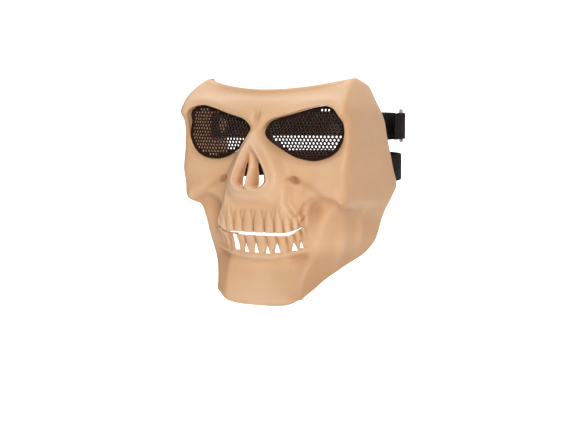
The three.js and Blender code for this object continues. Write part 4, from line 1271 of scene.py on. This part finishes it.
def tuck_point(height, reach):
    """Where a strap end lies inside the shell, at a distance ahead of its rear edge."""
    y = rear_edge(height) - reach
    edges = (height - STRAP_WIDTH / 2, height, height + STRAP_WIDTH / 2)
    nearest = min(inside_wall(y, edge)[0] for edge in edges)
    return np.array([nearest - FIT_GAP - STRAP_THICKNESS / 2, y, height])


def strap_route(strap):
    """Route of a strap round the back, closely spaced."""
    tuck = [tuck_point(strap["height"], share * STRAP_TUCK) for share in TUCK_SHARES]
    half_width, half_length = strap["width"] / 2, strap["length"] / 2
    loop = [
        np.array([half_width * math.cos(angle), half_length * math.sin(angle), strap["height"]])
        for angle in np.radians(STRAP_ANGLES)
    ]
    left = [*tuck, *loop]
    right = [point * np.array([-1, 1, 1]) for point in left[-2::-1]]
    return rounded_route([*left, *right], False, 24)


def along_route(route, reach):
    """Point and direction at a distance along a route."""
    steps = np.linalg.norm(np.diff(route, axis=0), axis=1)
    lengths = np.concatenate(([0], np.cumsum(steps)))

    def at(distance):
        return np.array([np.interp(distance, lengths, route[:, axis]) for axis in range(3)])

    along = at(reach + 0.5) - at(reach - 0.5)
    return at(reach), along / np.linalg.norm(along), lengths[-1]


def outward_of(along):
    """Level direction to the outside of a strap that runs along a direction."""
    out = np.array([along[1], -along[0], 0])
    return out / np.linalg.norm(out)


def band(name, stops):
    """Elastic band with rounded edges; each stop has a place, a lean and a distance along."""
    half, thick = STRAP_WIDTH / 2, STRAP_THICKNESS / 2
    flat, edge = half - STRAP_EDGE[0], half - STRAP_EDGE[1]
    profile = [
        (-flat, -thick), (flat, -thick), (edge, -thick / 2), (edge, thick / 2),
        (flat, thick), (-flat, thick), (-edge, thick / 2), (-edge, -thick / 2),
    ]
    points, faces, places = [], [], []
    travelled = 0.0
    for i, (at, lean) in enumerate(stops):
        before, after = stops[max(0, i - 1)][0], stops[min(len(stops) - 1, i + 1)][0]
        out = outward_of(after - before)
        up = np.array([0, 0, math.cos(lean)]) - out * math.sin(lean)
        through = np.array([0, 0, math.sin(lean)]) + out * math.cos(lean)
        travelled += np.linalg.norm(at - before)
        for height, depth in profile:
            points.append(at + up * height + through * depth)
            places.append((travelled * MM, height * MM))
    count = len(profile)
    for i in range(len(stops) - 1):
        for side in range(count):
            a, b = count * i + side, count * i + (side + 1) % count
            faces.append([a, b, b + count, a + count])
    end = count * (len(stops) - 1)
    faces += [list(range(count)), list(range(end + count - 1, end - 1, -1))]
    piece = new_piece(name, points, faces)
    layer = piece.data.uv_layers.new(name="along")
    for loop in piece.data.loops:
        layer.data[loop.index].uv = places[loop.vertex_index]
    faces_outward(piece)
    return piece


def strap_stops(strap):
    """Places and leans along a strap."""
    route = strap_route(strap)
    length = along_route(route, 0)[2]
    behind = np.linspace(STRAP_TUCK, length - STRAP_TUCK, STRAP_STEPS)
    places = [along_route(route, reach)[0] for reach in (0, *behind, length)]
    rear = rear_edge(strap["height"])
    return [(at, strap["lean"] * float(smooth((at[1] - rear) / STRAP_TUCK))) for at in places]


LEAN_SHIFT = STRAP_WIDTH / 2 * math.sin(UPPER_STRAP["lean"])
SLIDER_OFFSET = STRAP_THICKNESS / 2 + LEAN_SHIFT + FIT_GAP + SLIDER_THICKNESS / 2
TAIL_OFFSET = SLIDER_OFFSET + SLIDER_THICKNESS / 2 + FIT_GAP + STRAP_THICKNESS / 2


def tail_stops():
    """The upper strap's free end, out through the slider's rear slot and forward over it."""
    route = strap_route(UPPER_STRAP)
    spot, along, _ = along_route(route, SLIDER_REACH)
    out = outward_of(along)
    slot_end = SLIDER_LENGTH / 2 - SLIDER_BAR
    corners = [
        (slot_end - 0.2, 0, 1), (slot_end - 1.4, 0.4, 0.9), (SLIDER_BAR / 2 + 1.2, TAIL_OFFSET, 0),
        (-SLIDER_LENGTH / 2 - 1, TAIL_OFFSET + 0.2, 0),
    ]
    stops = [
        (spot + along * reach + out * offset, UPPER_STRAP["lean"] * share) for reach, offset, share in corners
    ]
    for share in (0.25, 0.5, 0.75, 1):
        at, direction, _ = along_route(route, SLIDER_REACH - SLIDER_LENGTH / 2 - share * TAIL_LENGTH)
        stops.append((at + outward_of(direction) * TAIL_OFFSET, 0.0))
    return stops


def outside_share(piece, x, y):
    """How much each point of the wall faces away from the hollow of the mask."""
    normals = np.zeros(len(piece.data.vertices) * 3)
    piece.data.vertices.foreach_get("normal", normals)
    normals = normals.reshape(-1, 3)
    outwards = (normals[:, 0] * x + normals[:, 1] * y) / np.maximum(np.hypot(x, y), 1)
    return eased(outwards, OUTSIDE_FACING)


def join_pieces(piece, others):
    """Puts other pieces' meshes into one piece."""
    shape = bmesh.new()
    shape.from_mesh(piece.data)
    for other in others:
        shape.from_mesh(other.data)
        bpy.data.objects.remove(other)
    shape.to_mesh(piece.data)
    shape.free()


# Operators

class MASK_OT_shell(bpy.types.Operator):
    """Build the moulded shell with its teeth, nose and brow"""

    bl_idname = "mask.shell"
    bl_label = "Shell"

    def execute(self, context):
        relief = context.scene.mask_relief
        points, faces = shell_mesh(relief)
        piece = new_piece("face_shell", points, faces)
        faces_outward(piece)
        rings = collar_rings()
        flipped = [ring * np.array([-1, 1, 1]) for ring in rings]
        combine(piece, ring_piece("collars", [rings, flipped]), "UNION")
        combine(piece, prisms("openings", front_outlines(), *ahead(OPENING_CUT)), "DIFFERENCE")
        vertices = np.zeros(len(piece.data.vertices) * 3)
        piece.data.vertices.foreach_get("co", vertices)
        x, y, z = vertices.reshape(-1, 3).T / MM
        # Painted shade in the folds and hollows at the front, and painted light and shade over the face, on
        # outward faces only, kept in the fold attribute
        _, fold = fine_relief(x, y, z, relief)
        broad, fine = HollowTable(relief).at(x, z)
        hollow = HOLLOW_SHADING["broad"] * broad + HOLLOW_SHADING["fine"] * fine
        folds = np.where(y < ahead(HOLLOW_SHADING["rear"]), fold + hollow, 0)
        tint = outside_share(piece, x, y) * np.clip(folds + painted_face_shading(x, y, z), PALEST_HIGHLIGHT, 1)
        layer = piece.data.attributes.new("fold", "FLOAT", "POINT")
        layer.data.foreach_set("value", tint.astype(np.float32))
        soften(piece, 42)
        place(piece, shell_finish(context.scene.mask_finish), "shell_plastic", "mask_shell")
        return {"FINISHED"}


class MASK_OT_eye_plates(bpy.types.Operator):
    """Build the two domed eye plates with their holes"""

    bl_idname = "mask.eye_plates"
    bl_label = "Eye Plates"

    def execute(self, context):
        settings = context.scene.mask_plates
        finish = plate_finish(context.scene.mask_finish)
        points, faces = self.plate(settings)
        for side, sign in (("left", 1), ("right", -1)):
            turned = points * np.array([sign, 1, 1])
            piece = new_piece(f"eye_plate_{side}", turned, faces)
            faces_outward(piece)
            soften(piece, 40)
            place(piece, finish, "eye_mesh", f"eye_mesh_{side}")
        return {"FINISHED"}

    def plate(self, settings):
        """Points and faces of the wearer's left plate."""
        border = inset_outline(LEFT_EYE, FIT_GAP)
        loops = [border, *[inset_outline(LEFT_EYE, FIT_GAP + PLATE_RIM * i) for i in (1, 2)]]
        centres = self.hole_centres(border, settings)
        angles = np.arange(HOLE_SIDES) * math.tau / HOLE_SIDES
        circle = settings.hole / 2 * np.stack([np.cos(angles), np.sin(angles)], axis=1)
        loops += [circle + centre for centre in centres]
        flat, edges = [], []
        for loop in loops:
            first, count = len(flat), len(loop)
            flat += [Vector(point) for point in loop]
            edges += [(first + i, first + (i + 1) % count) for i in range(count)]
        made, _, triangles, _, _, _ = delaunay_2d_cdt(flat, edges, [], 0, 1e-6)
        places = np.array([tuple(point) for point in made])
        middles = np.array([places[list(face)].mean(axis=0) for face in triangles])
        apart = middles[:, None, :] - np.array(centres)[None, :, :]
        nearest = np.min(np.linalg.norm(apart, axis=2), axis=1)
        solid = (inside_by(border, *middles.T) > 0) & (nearest > settings.hole * 0.45)
        kept = [list(face) for face, wanted in zip(triangles, solid) if wanted]
        return self.thickened(places, kept, border, settings)

    def hole_centres(self, border, settings):
        """Centres of the holes in close-packed rows."""
        row_pitch = settings.pitch * math.sqrt(0.75)
        rows = math.ceil(EYE_HEIGHT / row_pitch / 2) + 1
        columns = math.ceil(EYE_WIDTH / settings.pitch / 2) + 2
        grid = [
            (EYE_MIDDLE[0] + (column + row % 2 / 2) * settings.pitch, EYE_MIDDLE[1] + row * row_pitch)
            for row in range(-rows, rows + 1) for column in range(-columns, columns + 1)
        ]
        inside = inside_by(border, *np.array(grid).T)
        return [spot for spot, far in zip(grid, inside) if far > PLATE_BORDER + settings.hole / 2]

    def thickened(self, places, triangles, border, settings):
        """Domes the flat plate and gives it its thickness."""
        x, z = places.T
        depth = inside_by(border, x, z)
        dome = PLATE_DOME * smooth((depth - PLATE_BORDER / 2) / DOME_REACH)
        rim = settings.rim_rise * bump(depth - PLATE_RIM, RIM_WIDTH)
        back = FACE.depth(x, z) + plate_seat(z) + PLATE_THICKNESS - dome
        front_points = np.stack([x, back - PLATE_THICKNESS - rim, z], axis=1)
        back_points = np.stack([x, back, z], axis=1)
        count = len(places)
        faces = [list(face) for face in triangles] + [[i + count for i in face[::-1]] for face in triangles]
        sides = {}
        for face in triangles:
            for a, b in zip(face, face[1:] + face[:1]):
                sides[(a, b)] = True
        faces += [[b, a, a + count, b + count] for a, b in sides if (b, a) not in sides]
        return np.vstack([front_points, back_points]), faces


class MASK_OT_straps(bpy.types.Operator):
    """Build the two elastic straps and the upper strap's free end"""

    bl_idname = "mask.straps"
    bl_label = "Straps"

    def execute(self, context):
        finish = webbing_finish(context.scene.mask_finish)
        upper = band("upper_webbing", strap_stops(UPPER_STRAP))
        join_pieces(upper, [band("free_end", tail_stops())])
        lower = band("lower_webbing", strap_stops(LOWER_STRAP))
        for piece, node in ((upper, "upper_strap"), (lower, "lower_strap")):
            soften(piece, 50)
            place(piece, finish, "webbing", node)
        return {"FINISHED"}


class MASK_OT_fittings(bpy.types.Operator):
    """Build the slider and the four strap studs"""

    bl_idname = "mask.fittings"
    bl_label = "Slider and Studs"

    def execute(self, context):
        finish = context.scene.mask_finish
        pale, bone = slider_finish(finish), stud_finish(finish)
        self.rounded_copy("strap_slider", "slider_frame", pale, "slider_plastic", 0.45)
        for row in ("upper", "lower"):
            for side in ("left", "right"):
                node = f"{row}_strap_stud_{side}"
                self.rounded_copy(node, f"{row}_stud_{side}", bone, "stud_plastic", 0.35)
        return {"FINISHED"}

    def rounded_copy(self, node, name, finish, slot, width):
        """A fitting with the frame's own shape and rounded edges."""
        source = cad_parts[node]
        shape = bmesh.new()
        shape.from_mesh(source.data)
        bmesh.ops.remove_doubles(shape, verts=shape.verts, dist=0.00001)
        bmesh.ops.dissolve_limit(shape, angle_limit=math.radians(2), verts=shape.verts, edges=shape.edges)
        mesh = bpy.data.meshes.new(name)
        shape.to_mesh(mesh)
        shape.free()
        piece = bpy.data.objects.new(name, mesh)
        bpy.context.scene.collection.objects.link(piece)
        bevelled(piece, width)
        soften(piece, 35)
        place(piece, finish, slot, node)


class MASK_OT_studio(bpy.types.Operator):
    """Lay out the floor, the lights and the camera"""

    bl_idname = "mask.studio"
    bl_label = "Studio"

    def execute(self, context):
        settings = context.scene.mask_studio
        self.paper(settings)
        self.light("key", settings.key_power)
        self.light("fill", settings.fill_power)
        self.light("paper_wash", settings.paper_power)
        self.light("floor_wash", settings.paper_power * 0.5)
        context.scene.view_settings.view_transform = "Standard"
        world = bpy.data.worlds.new("white_surround")
        context.scene.world = world
        world.use_nodes = True
        surround = world.node_tree.nodes["Background"]
        surround.inputs["Color"].default_value = (1, 1, 1, 1)
        surround.inputs["Strength"].default_value = settings.sky
        self.camera(context, settings)
        return {"FINISHED"}

    def paper(self, settings):
        """Floor that curves up into a backdrop."""
        reach, side, bend, steps = 3.5, 5.0, 1.2, 16
        profile = [(-reach, -settings.floor_drop), (reach - bend, -settings.floor_drop)]
        for i in range(1, steps + 1):
            angle = math.pi / 2 * i / steps
            height = bend - bend * math.cos(angle) - settings.floor_drop
            profile.append((reach - bend + bend * math.sin(angle), height))
        profile.append((reach, 4.0))
        points = [(x * side / MM, y / MM, z / MM) for y, z in profile for x in (-1, 1)]
        faces = [[2 * i, 2 * i + 1, 2 * i + 3, 2 * i + 2] for i in range(len(profile) - 1)]
        sheet = new_piece("studio_paper", points, faces)
        sheet.data.shade_smooth()
        sheet.data.materials.append(stage_finish(settings))

    def light(self, name, power):
        """Large soft square light that looks at its target."""
        lamp = bpy.data.lights.new(name, "AREA")
        lamp.size = LIGHTS[name]["size"]
        lamp.energy = power
        self.aimed(bpy.data.objects.new(name, lamp), LIGHTS[name])

    def camera(self, context, settings):
        """Camera in front and to the wearer's left, level with the eyes."""
        view = bpy.data.cameras.new("view")
        view.sensor_width = 36
        view.lens = settings.lens
        holder = self.aimed(bpy.data.objects.new("view", view), CAMERA)
        context.scene.camera = holder

    def aimed(self, holder, place):
        """Sets a light or the camera at its spot, looking at its target."""
        spot, target = Vector(place["spot"]), Vector(place["target"])
        holder.location = spot
        holder.rotation_euler = (target - spot).to_track_quat("-Z", "Y").to_euler()
        bpy.context.scene.collection.objects.link(holder)
        return holder


class MASK_PT_panel(bpy.types.Panel):
    """Sizes, colours and building steps of the mask"""

    bl_idname = "MASK_PT_panel"
    bl_label = "Skull Mask"
    bl_space_type = "VIEW_3D"
    bl_region_type = "UI"
    bl_category = "Skull Mask"

    def draw(self, context):
        for group in ("mask_relief", "mask_finish", "mask_plates", "mask_studio"):
            settings = getattr(context.scene, group)
            column = self.layout.box().column()
            for name in settings.__annotations__:
                column.prop(settings, name)
        for operator in OPERATORS:
            self.layout.operator(operator.bl_idname)


OPERATORS = (MASK_OT_studio, MASK_OT_shell, MASK_OT_eye_plates, MASK_OT_straps, MASK_OT_fittings)
SETTINGS = {
    "mask_relief": MaskReliefSettings,
    "mask_finish": MaskFinishSettings,
    "mask_plates": MaskPlateSettings,
    "mask_studio": MaskStudioSettings,
}


def register():
    """Adds the settings, the operators and the panel."""
    for name, group in SETTINGS.items():
        bpy.utils.register_class(group)
        setattr(bpy.types.Scene, name, PointerProperty(type=group))
    for operator in OPERATORS:
        bpy.utils.register_class(operator)
    bpy.utils.register_class(MASK_PT_panel)


def unregister():
    """Removes them again."""
    bpy.utils.unregister_class(MASK_PT_panel)
    for operator in reversed(OPERATORS):
        bpy.utils.unregister_class(operator)
    for name, group in SETTINGS.items():
        delattr(bpy.types.Scene, name)
        bpy.utils.unregister_class(group)


def main():
    """Builds the mask and its studio."""
    register()
    bpy.ops.mask.studio()
    bpy.ops.mask.shell()
    bpy.ops.mask.eye_plates()
    bpy.ops.mask.straps()
    bpy.ops.mask.fittings()


if __name__ == "__main__":
    main()
